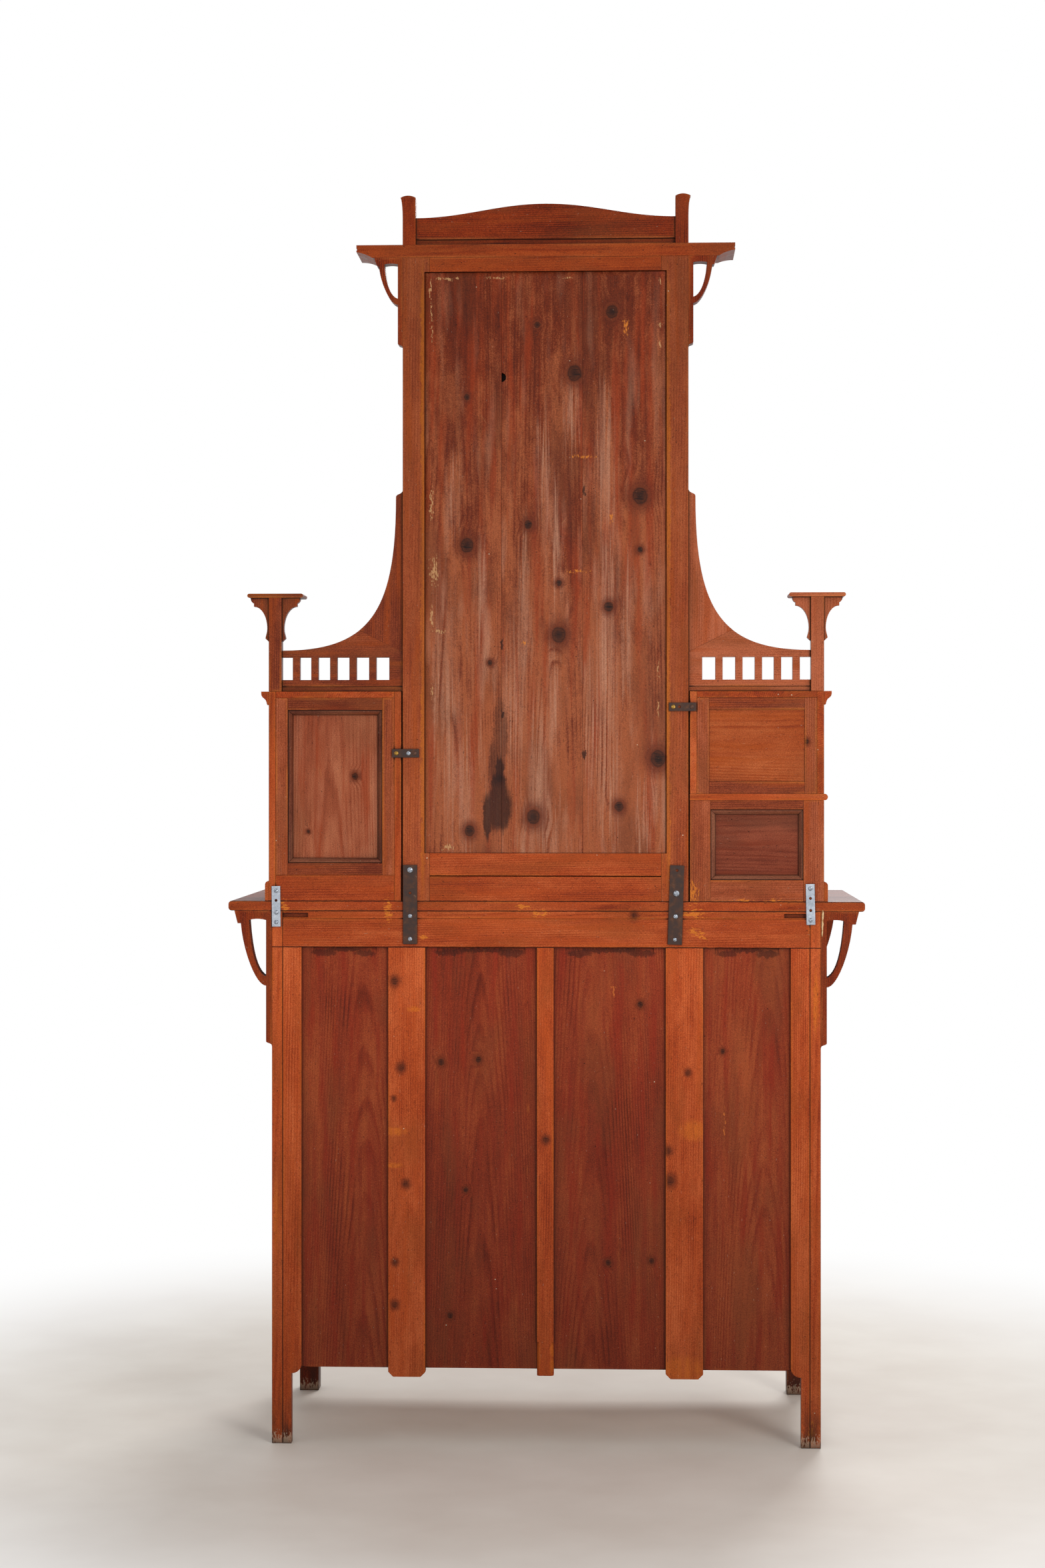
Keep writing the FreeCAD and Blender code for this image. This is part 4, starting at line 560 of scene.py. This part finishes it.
# Panel of the small cupboard: flat-sawn, orange and even.
small_panel_pine = stained_pine(
    "stained_pine_panel_orange", ("#762b11", "#964119", "#ad592e"), "#a04818", "#8c4724", "#c87a34",
    pith=FLAT_SAWN)
# Panel of the niche: flat-sawn, dark brown.
niche_panel_pine = stained_pine(
    "stained_pine_panel_dark", ("#481c10", "#6f301e", "#8c4730"), "#702a14", "#603524", "#a05c36",
    pith=FLAT_SAWN)
CUPBOARD_PARTING = 1210 * MM
CUPBOARD_MIDDLE = 390 * MM
NEAR_MIDDLE = 30 * MM
CROSS_FOOT = 1060 * MM


def cupboard_panel(middle):
    """The finish of a cupboard's back panel, by where it is."""
    if middle.x > 0:
        return tall_panel_pine
    return small_panel_pine if middle.z > CUPBOARD_PARTING else niche_panel_pine


def cupboard_frame_shade(middle):
    """How light a member of a cupboard's back frame is: the cross members of the upper frames are darkest."""
    crossing = abs(abs(middle.x) - CUPBOARD_MIDDLE) < NEAR_MIDDLE
    return -0.1 if crossing and middle.z > CROSS_FOOT else 0.5


boards("cupboard_back_panels", cupboard_panel, shade=0.5)
boards("cupboard_back_frames", upper_pine, shade=cupboard_frame_shade)
boards("cupboard_back_beads", bead_pine)
for node in ("tall_cupboard_case", "small_cupboard_case", "niche_plinth", "niche_columns",
             "cupboard_cornices", "cupboard_skirtings"):
    boards(node, show_pine, back=rail_pine)


# A dark block in the narrow gaps between the end cupboards and the mirror frame, and between the frame's two
# low rails: painted shade, put where the gaps lie in shadow, so that no light comes through there.
GAP_SHADE_SEED = 5
GAP_SHADE_STEP = 6 * MM
GAP_SHADE_FRONT, GAP_SHADE_REAR = 222 * MM, 231 * MM
GAP_SHADE_UNEVEN = 4 * MM
LOW_RAIL_GAP = (1051 * MM, 1052.5 * MM)
LOW_RAIL_END = 213.9 * MM


def join_rings(bm, rings):
    """Faces between rings of points, from each ring to the next."""
    for low, high in zip(rings, rings[1:]):
        for k in range(len(low)):
            bm.faces.new([low[k - 1], low[k], high[k], high[k - 1]])


def whole_mesh(bm, name):
    """A finished mesh, its faces turned outwards."""
    bmesh.ops.recalc_face_normals(bm, faces=bm.faces)
    mesh = bpy.data.meshes.new(name)
    bm.to_mesh(mesh)
    bm.free()
    return mesh


gap_shade_low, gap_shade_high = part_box("mirror_frame_stiles")[0].z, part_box("tall_cupboard_case")[1].z
side_gap = (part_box("mirror_frame_stiles")[1].x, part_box("tall_cupboard_case")[0].x)
gap_shade_random = random.Random(GAP_SHADE_SEED)
bm = bmesh.new()
for start, end, (near_side, far_side), upright in (
        (gap_shade_low, gap_shade_high, side_gap, True), (gap_shade_low, gap_shade_high, [-x for x in side_gap], True),
        (-LOW_RAIL_END, LOW_RAIL_END, LOW_RAIL_GAP, False)):
    rungs = []
    count = round((end - start) / GAP_SHADE_STEP)
    for k in range(count + 1):
        along = start + (end - start) * k / count
        rear = GAP_SHADE_REAR - gap_shade_random.uniform(0, GAP_SHADE_UNEVEN)
        corners = ((near_side, GAP_SHADE_FRONT), (far_side, GAP_SHADE_FRONT), (far_side, rear), (near_side, rear))
        rungs.append([
            bm.verts.new((across, y, along) if upright else (along, y, across)) for across, y in corners])
    join_rings(bm, rungs)
    bm.faces.new(rungs[0])
    bm.faces.new(rungs[-1][::-1])
gap_shade_mesh = whole_mesh(bm, "painted_gap_shade")
# Painted shade: near-black, matt and mottled, standing in for the shadow in the gaps.
gap_shade_felt, tree, place = new_material("painted_gap_shade_felt")
grain = add(tree, "TexNoise", {"Vector": place, "Scale": 1 / (5 * MM), "Detail": 4.0})
grey = add(tree, "ValToRGB", [grain], stops=[(0.3, "#0f0806"), (0.7, "#2b1a14")])
surface = add(tree, "BsdfPrincipled", {"Base Color": grey, "Roughness": 0.95, "Specular IOR Level": 0.05})
add(tree, "OutputMaterial", {"Surface": surface})
gap_shade_mesh.materials.append(gap_shade_felt)
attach(placed("painted_gap_shade", gap_shade_mesh), "carcase")


# Mirror frame: two tall stiles, a top rail and two low rails, rough on the back and rubbed bare along their
# inner arrises. The backboard behind the glass is knotty pine in three widths, rubbed grey and orange, with a
# fallen knot and an old dark spill.
STILE_EDGE = 226.5
STILE_RUBS = [(side * STILE_EDGE, z, 4.5, 150) for side in (1, -1) for z in range(1180, 2050, 170)]
# Stiles: duller and browner than the base and darker towards the cornice, with an orange line where hands and
# cloths rubbed the inner arris.
stile_pine = stained_pine(
    "stained_pine_stile", ("#662711", "#8c3f20", "#a65631"), "#974214", "#7c3f20", "#b3621c", rings=0.8,
    worn=0.3, shade_and_grime=0.45, seams=(1005,), thin=STILE_RUBS, aged=(1140, 2140, 1.12, 0.75))
boards("mirror_frame_stiles", show_pine, back=stile_pine, shade=0.5)
boards("mirror_frame_rails", show_pine,
       back=lambda middle: rail_pine if middle.z < CUPBOARD_PARTING else dark_stain_and_shade_pine,
       shade=lambda middle: 0.3 if middle.z < CUPBOARD_PARTING else 0.7)
BACKBOARD_KNOTS = [
    (-123, 2093, 11), (15, 2070, 5.5), (-54, 1980, 13.5), (145, 1937, 5), (-175, 1753, 14), (32, 1701, 7),
    (145, 1663, 12), (-25, 1593, 5), (-25, 1497, 13), (-117, 1549, 8), (102, 1446, 4.5), (-208, 1269, 14),
    (22, 1161, 12), (-136, 1180, 8), (140, 1135, 9), (85, 1232, 6), (-175, 1654, 5)]
SPILL = {
    0.85: [
        (87, 1178, 27, 44), (86, 1216, 15, 30), (85, 1244, 8, 28), (108, 1160, 8, 40), (-71, 1759, 3, 9),
        (-72, 1278, 4, 8), (80, 1480, 3, 10), (79, 1354, 3, 6)],
    0.5: [(83, 1310, 13, 70), (96, 1262, 8, 40)]}
GOUGES = [
    (-149, 2064, 5, 18), (38, 1482, 6, 4), (-60, 1614, 24, 3), (-121, 1713, 5, 10), (-70, 1826, 30, 3)]
BACKBOARD_CHIPS = [
    (212, 2138, 3, 16), (211, 2096, 2, 26), (210, 2056, 2, 18), (196, 2156, 10, 3), (178, 2155, 8, 3),
    (163, 2156, 6, 2), (90, 2157, 22, 2), (-40, 2156, 14, 2), (-211, 2148, 2, 8), (-212, 2068, 3, 6),
    (-212, 2034, 2, 10), (211, 1740, 4, 34), (206, 1616, 9, 30), (210, 1530, 4, 24), (196, 1504, 14, 4),
    (210, 1392, 2, 20), (-208, 1430, 2, 20), (-209, 1360, 2, 22), (180, 1105, 12, 6)]
FLAMES = [
    (-48, 1922, 18, 60), (2, 1800, 16, 90), (-112, 1800, 22, 140), (168, 1757, 14, 90),
    (-116, 1590, 18, 90), (-112, 1430, 26, 200), (-86, 1330, 18, 160), (58, 1366, 24, 150),
    (176, 1330, 20, 230), (10, 1230, 24, 150), (-16, 1390, 16, 140), (-116, 1240, 26, 110),
    (150, 1200, 18, 120), (-20, 1660, 14, 90), (40, 1560, 12, 110), (120, 1560, 12, 100),
    (-10, 1125, 50, 34), (-180, 1160, 18, 60), (200, 1420, 10, 150), (-150, 1500, 12, 110)]
# Backboard: knotty, red streaks against grey-pink ones rubbed bare, lighter towards its foot: partly rubbed,
# partly painted sheen.
backboard_pine = stained_pine(
    "stained_pine_knotty", ("#431508", "#66260f", "#97502f"), "#8a3212", "#592a17", "#bd9062", 0.46,
    pith=FLAT_SAWN, specular=0.10, streaks=0.5, mottles=0.6, rubbed=0.85, worn=0.0, shade_and_grime=0.3, runs=40,
    knots=BACKBOARD_KNOTS, stains=SPILL, chips=[(BACKBOARD_CHIPS, "#bd9062"), (GOUGES, "#cf7a2c")],
    flames=FLAMES, rub_and_sheen_below=(2080, 1230, 0.42))
HOLE_PLACE = (81 * MM, 231 * MM, 1973 * MM)
HOLE_RADIUS = 8.5 * MM
HOLE_DEPTH = 100 * MM
HOLE_SIDES = 28


def fallen_knot(bm):
    """Leaves a half-round hole in the edge of the middle board, where a knot has dropped out."""
    if not min(v.co.x for v in bm.verts) < 0 < max(v.co.x for v in bm.verts):
        return
    plug_bm = bmesh.new()
    bmesh.ops.create_cone(
        plug_bm, cap_ends=True, segments=HOLE_SIDES, radius1=HOLE_RADIUS, radius2=HOLE_RADIUS,
        depth=HOLE_DEPTH, matrix=Matrix.Translation(HOLE_PLACE) @ Matrix.Rotation(math.pi / 2, 4, "X"))
    objects = []
    for name, source in (("board", bm), ("plug", plug_bm)):
        mesh = bpy.data.meshes.new(name)
        source.to_mesh(mesh)
        objects.append(placed(name, mesh))
    board, plug = objects
    board.modifiers.new("hole", "BOOLEAN").object = plug
    cut_mesh = bpy.data.meshes.new_from_object(board.evaluated_get(bpy.context.evaluated_depsgraph_get()))
    bm.clear()
    bm.from_mesh(cut_mesh)
    plug_bm.free()
    for mesh in (board.data, plug.data, cut_mesh):
        bpy.data.meshes.remove(mesh)


boards("mirror_backboard", backboard_pine, pierce=fallen_knot, shade=0.3)


# Mirror plate: one tall sheet of old glass, silvered and painted on its back, laid in the frame's rebate and
# held there by the backboard.
mirror_low, mirror_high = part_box("mirror_glass")
mirror_middle, mirror_half = (mirror_low + mirror_high) / 2, (mirror_high - mirror_low) / 2
# Silvered glass: a clear, slightly grey reflection, foxed brown along the edges, and dark paint behind.
silvering, tree, place = new_material("silvered_glass")
inset = add(tree, "VectorMath", [place, mirror_middle], operation="SUBTRACT")
inset = add(tree, "VectorMath", [inset], operation="ABSOLUTE")
inset = add(tree, "VectorMath", [mirror_half, inset], operation="SUBTRACT")
inset = [add(tree, "SeparateXYZ", [inset], axis) for axis in "XZ"]
rim = add(tree, "Math", [inset[0], inset[1]], operation="MINIMUM")
blooms = add(tree, "TexNoise", {"Vector": place, "Scale": 1 / (22 * MM), "Detail": 6.0})
foxed = add(tree, "Math", [blooms, 0.09, rim], operation="MULTIPLY_ADD")
foxed = add(tree, "MapRange", {0: foxed, 1: 0.068, 2: 0.044, 4: 0.9}, **SMOOTH)
painted_back = add(tree, "SeparateXYZ", [add(tree, "TexCoord", out="Normal")], "Y")
painted_back = add(tree, "Math", [painted_back, 0.5], operation="GREATER_THAN")
silver = add(tree, "Mix", {0: foxed, 6: "#dfe3e1", 7: "#5a4836"}, 2, data_type="RGBA")
silver = add(tree, "Mix", {0: painted_back, 6: silver, 7: "#1c110d"}, 2, data_type="RGBA")
bright = add(tree, "Math", [1.0, painted_back], operation="SUBTRACT")
blur = add(tree, "MapRange", {0: foxed, 3: 0.02, 4: 0.4})
blur = add(tree, "Math", [blur, painted_back], operation="MAXIMUM")
surface = add(tree, "BsdfPrincipled", {"Base Color": silver, "Metallic": bright, "Roughness": blur})
add(tree, "OutputMaterial", {"Surface": surface})
frame["nodes"]["mirror_glass"].data.materials[0] = silvering


# Cornice over the mirror with its two pierced brackets, and the shaped crest between two posts, sawn out of
# thin pine, glued and pinned. Their backs take the darkest finish: partly a darker stain, partly painted
# shade.
boards("cornice", show_pine, back=dark_stain_and_shade_pine, shade=0.7)
for node in ("cornice_brackets", "crest_board", "crest_posts"):
    boards(node, show_pine, back=dark_stain_and_shade_pine, shade=0.15)


# Galleries beside the mirror: a fretted board, a swept board above it, and a post with a cap on brackets.
# Thin pine, sawn to shape and pierced with a fretsaw, glued to the frame and pinned to the cupboard tops.
# Boards toward the key lamp (negative x) are lighter, the rest darker: partly painted light, partly own tone.
for node in ("gallery_frets", "gallery_sweeps", "gallery_posts", "post_caps", "cap_brackets"):
    boards(node, show_pine, back=upper_pine, shade=lambda middle: -0.15 if middle.x > 0 else 0.95)


# Doors and drawers at the front: tenoned door frames with raised panels, and drawer fronts that lip over
# boxes of bare pine, dovetailed at the corners.
for node in ("door_left", "door_centre", "door_right", "tall_door", "small_door",
             "drawer_left_front", "drawer_centre_front", "drawer_right_front"):
    boards(node, show_pine)
for node in ("drawer_left_box", "drawer_centre_box", "drawer_right_box"):
    boards(node, bare_pine)


# Pane of the tall cupboard's door: one sheet of thin window glass, drawn by machine, cut to the rebate
# and puttied in from behind.

# Drawn window glass: clear, faintly green, not quite flat, with a thin film of dirt.
pane, tree, place = new_material("drawn_window_glass")
ripple = add(tree, "TexNoise", {"Vector": place, "Scale": 1 / (45 * MM), "Detail": 1.0})
film = add(tree, "TexNoise", {"Vector": place, "Scale": 1 / (120 * MM), "Detail": 4.0})
film = add(tree, "MapRange", {0: film, 1: 0.4, 2: 0.7, 4: 0.05})
wave = add(tree, "Bump", {"Strength": 0.15, "Distance": 0.5 * MM, "Height": ripple})
surface = add(tree, "BsdfPrincipled", {
    "Base Color": "#eef5f0", "Roughness": film, "Transmission Weight": 1.0, "IOR": 1.52,
    "Normal": wave})
add(tree, "OutputMaterial", {"Surface": surface})
frame["nodes"]["tall_door_glass"].data.materials[0] = pane


# Knobs, escutcheons and hinges: knobs turned from bar and screwed in from behind, hinge leaves rolled round
# their pins and let into the edges of the doors. All are brass.

# Aged brass: yellow and soft-bright where hands touch it, tarnished brown in patches and in the corners.
# Its pits are drawn coarser than real ones, which would be too fine to show.
brass, tree, place = new_material("aged_brass")
tarnish = add(tree, "TexNoise", {"Vector": place, "Scale": 1 / (7 * MM), "Detail": 5.0})
hidden = add(tree, "AmbientOcclusion", {"Distance": 6 * MM}, "AO", samples=8)
hidden = add(tree, "MapRange", {0: hidden, 1: 0.95, 2: 0.4, 4: 0.5})
aged = add(tree, "Math", [tarnish, hidden], operation="ADD")
metal = add(tree, "ValToRGB", [aged], stops=[(0.3, "#c09a55"), (0.55, "#a37f42"), (0.95, "#4a3519")])
dull = add(tree, "MapRange", {0: aged, 1: 0.3, 2: 0.9, 3: 0.24, 4: 0.55})
pits = add(tree, "TexNoise", {"Vector": place, "Scale": 1 / (0.8 * MM), "Detail": 2.0})
pits = add(tree, "Bump", {"Strength": 0.12, "Distance": 0.2 * MM, "Height": pits})
surface = add(tree, "BsdfPrincipled", {
    "Base Color": metal, "Metallic": 1.0, "Roughness": dull, "Normal": pits})
add(tree, "OutputMaterial", {"Surface": surface})
for node in ("door_left_furniture", "door_centre_furniture", "door_right_furniture", "tall_door_furniture",
             "small_door_furniture", "drawer_left_knob", "drawer_centre_knob", "drawer_right_knob",
             "hinge_leaves"):
    frame["nodes"][node].data.materials[0] = brass


# Repairs on the back: four flat iron straps and two zinc-plated steel plates, screwed on later to tie the
# upper part to the base and the cupboards to the mirror frame.

# Flat black iron: a brown-black skin with patches of rust, pits and slanting scratches.
iron, tree, place = new_material("black_iron_flat")
rust = add(tree, "TexNoise", {"Vector": place, "Scale": 1 / (11 * MM), "Detail": 5.0})
skin = add(tree, "ValToRGB", [rust], stops=[(0.32, "#2a1c18"), (0.52, "#3d2a23"), (0.72, "#593a2a")])
slanted = add(tree, "VectorRotate", {"Vector": place, "Angle": math.radians(35)}, rotation_type="Y_AXIS")
scored = drawn_out(tree, slanted, 40, 5, 0.0)
scored = add(tree, "Math", [scored, 0.5], operation="SUBTRACT")
scored = add(tree, "Math", [scored], operation="ABSOLUTE")
scored = add(tree, "MapRange", {0: scored, 1: 0.02, 2: 0.006, 4: 0.5})
here = add(tree, "MapRange", {0: rust, 1: 0.60, 2: 0.68})
scored = add(tree, "Math", [scored, here], operation="MULTIPLY")
skin = add(tree, "Mix", {0: scored, 6: skin, 7: "#8a7a70"}, 2, data_type="RGBA")
matt = add(tree, "MapRange", {0: rust, 1: 0.3, 2: 0.7, 3: 0.42, 4: 0.72})
pitted = add(tree, "Bump", {"Strength": 0.35, "Distance": 0.4 * MM, "Height": rust})
surface = add(tree, "BsdfPrincipled", {
    "Base Color": skin, "Metallic": 0.25, "Roughness": matt, "Specular IOR Level": 0.25, "Normal": pitted})
add(tree, "OutputMaterial", {"Surface": surface})
boards("iron_straps", iron, 0.4 * MM)
# Zinc plate: pale blue-grey metal, flecked with crystals and smeared by fingers.
zinc, tree, place = new_material("zinc_plated_steel")
fleck = add(tree, "TexVoronoi", {"Vector": place, "Scale": 1 / (3 * MM)}, "Color")
fleck = add(tree, "SeparateColor", [fleck], "Red")
smear = add(tree, "TexNoise", {"Vector": place, "Scale": 1 / (18 * MM), "Detail": 5.0})
fleck = add(tree, "Math", [fleck, 0.18, smear], operation="MULTIPLY_ADD")
plating = add(tree, "ValToRGB", [fleck], stops=[(0.3, "#6f757d"), (0.58, "#8b9098"), (0.85, "#a4a9b0")])
matt = add(tree, "MapRange", {0: smear, 1: 0.3, 2: 0.7, 3: 0.38, 4: 0.55})
surface = add(tree, "BsdfPrincipled", {"Base Color": plating, "Metallic": 0.9, "Roughness": matt})
add(tree, "OutputMaterial", {"Surface": surface})
boards("zinc_plates", zinc, 0.3 * MM)


# Screws that hold the straps and plates: pan heads with a cross recess, plated, brass or gone rusty.
# Each is driven home on the face of its strap; some holes were left empty.
HEAD_SIDES = 36
HEAD_SHARES = (0.12, 0.24, 0.36, 0.48, 0.60, 0.74, 0.87, 0.95, 1.0)
ARM_HALF, ARM_REACH, ARM_DEPTH = 0.11, 0.62, 0.28
RIM_RISE, DOME_RISE = 0.16, 0.34
TINT_STOPS = (0.35, 0.55, 0.75)
STRAP_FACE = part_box("iron_straps")[1].y
PLATE_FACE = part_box("zinc_plates")[1].y
SCREWS = {
    "plated_screws": [
        (250, 1062.8, STRAP_FACE, 10.6), (250, 977.8, STRAP_FACE, 7.8), (250, 935.2, STRAP_FACE, 7.8),
        (-241.7, 1020.2, STRAP_FACE, 11.3), (-240.3, 977.8, STRAP_FACE, 8.5), (-239, 935.2, STRAP_FACE, 7.1),
        (499.3, 1024.1, PLATE_FACE, 8), (498.9, 983.9, PLATE_FACE, 8), (498.7, 965.9, PLATE_FACE, 8),
        (-487.4, 1029.6, PLATE_FACE, 8), (-488.6, 971.4, PLATE_FACE, 8), (252.9, 1278.5, STRAP_FACE, 8)],
    "brass_screws": [(275.5, 1278.5, STRAP_FACE, 8), (-236, 1364, STRAP_FACE, 8)],
    "rusty_screws": [(241.5, 1278.5, STRAP_FACE, 7.5), (-270, 1364, STRAP_FACE, 7.5)]}


def pan_head(bm, x, y, z, diameter, turn):
    """One screw head on the back: a low dome, sunk where the arms of the cross recess run.
    Its rings, recess and rises are shares of its radius."""
    radius = diameter / 2
    rings = []
    for share in HEAD_SHARES:
        ring = []
        for k in range(HEAD_SIDES):
            angle = 2 * math.pi * k / HEAD_SIDES
            u, v = share * math.cos(angle + turn), share * math.sin(angle + turn)
            sunk = ARM_DEPTH if min(abs(u), abs(v)) < ARM_HALF and share < ARM_REACH else 0.0
            rise = RIM_RISE + DOME_RISE * math.sqrt(max(0.0, 1 - share * share)) - sunk
            ring.append(bm.verts.new((
                (x + radius * share * math.cos(angle)) * MM, y + radius * rise * MM,
                (z + radius * share * math.sin(angle)) * MM)))
        rings.append(ring)
    foot = [bm.verts.new((v.co.x, y, v.co.z)) for v in rings[-1]]
    top = bm.verts.new((x * MM, y + radius * (RIM_RISE + DOME_RISE - ARM_DEPTH) * MM, z * MM))
    join_rings(bm, rings + [foot])
    for k in range(HEAD_SIDES):
        bm.faces.new([top, rings[0][k], rings[0][k - 1]])
    bm.faces.new(foot)


turning = random.Random("screws")
# Screw metals: bluish plated steel, yellow brass and brown rusted steel, each mottled and half bright.
for kind, metal, colours, metallic, slot in (
        ("plated_screws", "plated_steel", ("#6e737b", "#9da2aa", "#b9bdc4"), 0.95, "bright_zinc"),
        ("brass_screws", "yellow_brass", ("#7a5a26", "#a8823e", "#c09a52"), 0.95, "aged_brass"),
        ("rusty_screws", "rusted_steel", ("#3a231a", "#5a3726", "#7a5136"), 0.4, "black_iron")):
    bm = bmesh.new()
    for x, z, y, diameter in SCREWS[kind]:
        pan_head(bm, x, y, z, diameter, turning.uniform(0, math.pi))
    mesh = whole_mesh(bm, kind)
    mesh.shade_smooth()
    mesh.set_sharp_from_angle(angle=SHARP_ANGLE)
    head, tree, place = new_material(metal)
    worn = add(tree, "TexNoise", {"Vector": place, "Scale": 1 / (2.5 * MM), "Detail": 4.0})
    tint = add(tree, "ValToRGB", [worn], stops=list(zip(TINT_STOPS, colours)))
    matt = add(tree, "MapRange", {0: worn, 1: 0.3, 2: 0.7, 3: 0.28, 4: 0.5})
    surface = add(tree, "BsdfPrincipled", {"Base Color": tint, "Metallic": metallic, "Roughness": matt})
    add(tree, "OutputMaterial", {"Surface": surface})
    mesh.materials.append(head)
    screws = placed(kind, mesh)
    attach(screws, "carcase")


# Glue that ran out of the joint between a rear leg and its batten when the piece was mended: a thin bead of
# hide glue, brushed on hot, that dried where it stopped.
GLUE_SIDES = 10
GLUE_FLATNESS = 0.45
GLUE_LINE = [
    (-509.4, 941, 0.5), (-509.6, 946, 1.3), (-509.9, 952, 1.0), (-509.8, 958, 1.6), (-510.3, 965, 1.9),
    (-510.2, 972, 1.2), (-510.6, 979, 2.1), (-510.9, 985, 1.5), (-510.6, 990, 0.4)]
glue_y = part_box("rear_legs")[1].y
turns = [2 * math.pi * k / GLUE_SIDES for k in range(GLUE_SIDES)]
bm = bmesh.new()
rings = []
for x, z, radius in GLUE_LINE:
    rings.append([
        bm.verts.new(((x + radius * math.cos(turn)) * MM,
                      glue_y + GLUE_FLATNESS * radius * math.sin(turn) * MM, z * MM)) for turn in turns])
join_rings(bm, rings)
bm.faces.new(rings[0])
bm.faces.new(rings[-1])
mesh = whole_mesh(bm, "glue_run")
mesh.shade_smooth()
# Hide glue: cream and ochre, half clear, with a wax-like shine.
hide_glue, tree, place = new_material("dried_hide_glue")
lumps = add(tree, "TexNoise", {"Vector": place, "Scale": 1 / (4 * MM), "Detail": 3.0})
cream = add(tree, "ValToRGB", [lumps], stops=[(0.35, "#a8793f"), (0.65, "#d9bb8c")])
surface = add(tree, "BsdfPrincipled", {"Base Color": cream, "Roughness": 0.35})
add(tree, "OutputMaterial", {"Surface": surface})
mesh.materials.append(hide_glue)
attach(placed("glue_run", mesh), "carcase")


# Studio: a pale floor that runs out to white, a soft lamp near the camera, a key lamp from the right of the
# view, a softer lamp on the front, and the camera where the photograph was taken.
FLOOR_REACH = 9.0
FLOOR_PALE = 0.75
FLOOR_WHITE = 2.0
AMBIENT = 0.45


def seen_by_eye(tree):
    """1 for what is seen straight on, in a reflection or through glass, and 0 for light on the piece."""
    rays = ("Is Camera Ray", "Is Glossy Ray", "Is Transmission Ray")
    straight, mirrored, through = [add(tree, "LightPath", out=ray) for ray in rays]
    seen = add(tree, "Math", [straight, mirrored], operation="MAXIMUM")
    return add(tree, "Math", [seen, through], operation="MAXIMUM")


floor_mesh = bpy.data.meshes.new("floor")
floor_mesh.from_pydata([(x, y, 0.0) for x, y in ((-1, -1), (1, -1), (1, 1), (-1, 1))], [], [(0, 1, 2, 3)])
floor_mesh.transform(Matrix.Scale(FLOOR_REACH, 4))
placed("floor", floor_mesh)
# Pale studio floor: warm off-white and matt, faintly clouded, fading to white where the view runs out.
pale_floor, tree, place = new_material("pale_studio_floor")
out_from = add(tree, "VectorMath", [place], "Value", operation="LENGTH")
fade = add(tree, "MapRange", {0: out_from, 1: FLOOR_PALE, 2: FLOOR_WHITE}, **SMOOTH)
fade = add(tree, "Math", [fade, seen_by_eye(tree)], operation="MULTIPLY")
grit = add(tree, "TexNoise", {"Vector": place, "Scale": 1 / (240 * MM), "Detail": 4.0})
paint = add(tree, "ValToRGB", [grit], stops=[(0.3, "#e2d9ce"), (0.7, "#ede6dc")])
matt = add(tree, "BsdfPrincipled", {"Base Color": paint, "Roughness": 0.6})
white = add(tree, "Emission", {"Color": "#ffffff"})
surface = add(tree, "MixShader", [fade, matt, white])
add(tree, "OutputMaterial", {"Surface": surface})
floor_mesh.materials.append(pale_floor)

world = bpy.data.worlds.new("white_studio")
bpy.context.scene.world = world
world.use_nodes = True
tree = world.node_tree
tree.nodes.clear()
level = add(tree, "MapRange", {0: seen_by_eye(tree), 3: AMBIENT})
sky = add(tree, "Background", {"Color": "#ffffff", "Strength": level})
add(tree, "OutputWorld", {"Surface": sky})


def soft_lamp(name, place, aim, size, power):
    """A square soft lamp, unseen itself, turned to what it lights."""
    data = bpy.data.lights.new(name, "AREA")
    data.size = size
    data.energy = power
    lamp = placed(name, data)
    lamp.location = place
    lamp.rotation_euler = (Vector(aim) - Vector(place)).to_track_quat("-Z", "Y").to_euler()
    lamp.visible_camera = False


soft_lamp("key", (-2.9, 4.5, 2.1), (0.0, 0.2, 1.1), 1.6, 105)
soft_lamp("beside_camera", (0.4, 5.9, 1.25), (0.0, 0.2, 1.2), 1.6, 60)
soft_lamp("front", (-1.0, -4.2, 4.2), (0.0, 0.0, 1.0), 2.0, 130)

camera_data = bpy.data.cameras.new("camera")
camera_data.sensor_width = 36.0
camera_data.lens = 61.64
camera_data.shift_y = -0.012
camera = placed("camera", camera_data)
camera.location = (-0.156, 5.194, 1.2565)
camera.rotation_euler = (math.radians(90), 0.0, math.radians(182.29))
bpy.context.scene.camera = camera
bpy.context.scene.view_settings.view_transform = "Standard"
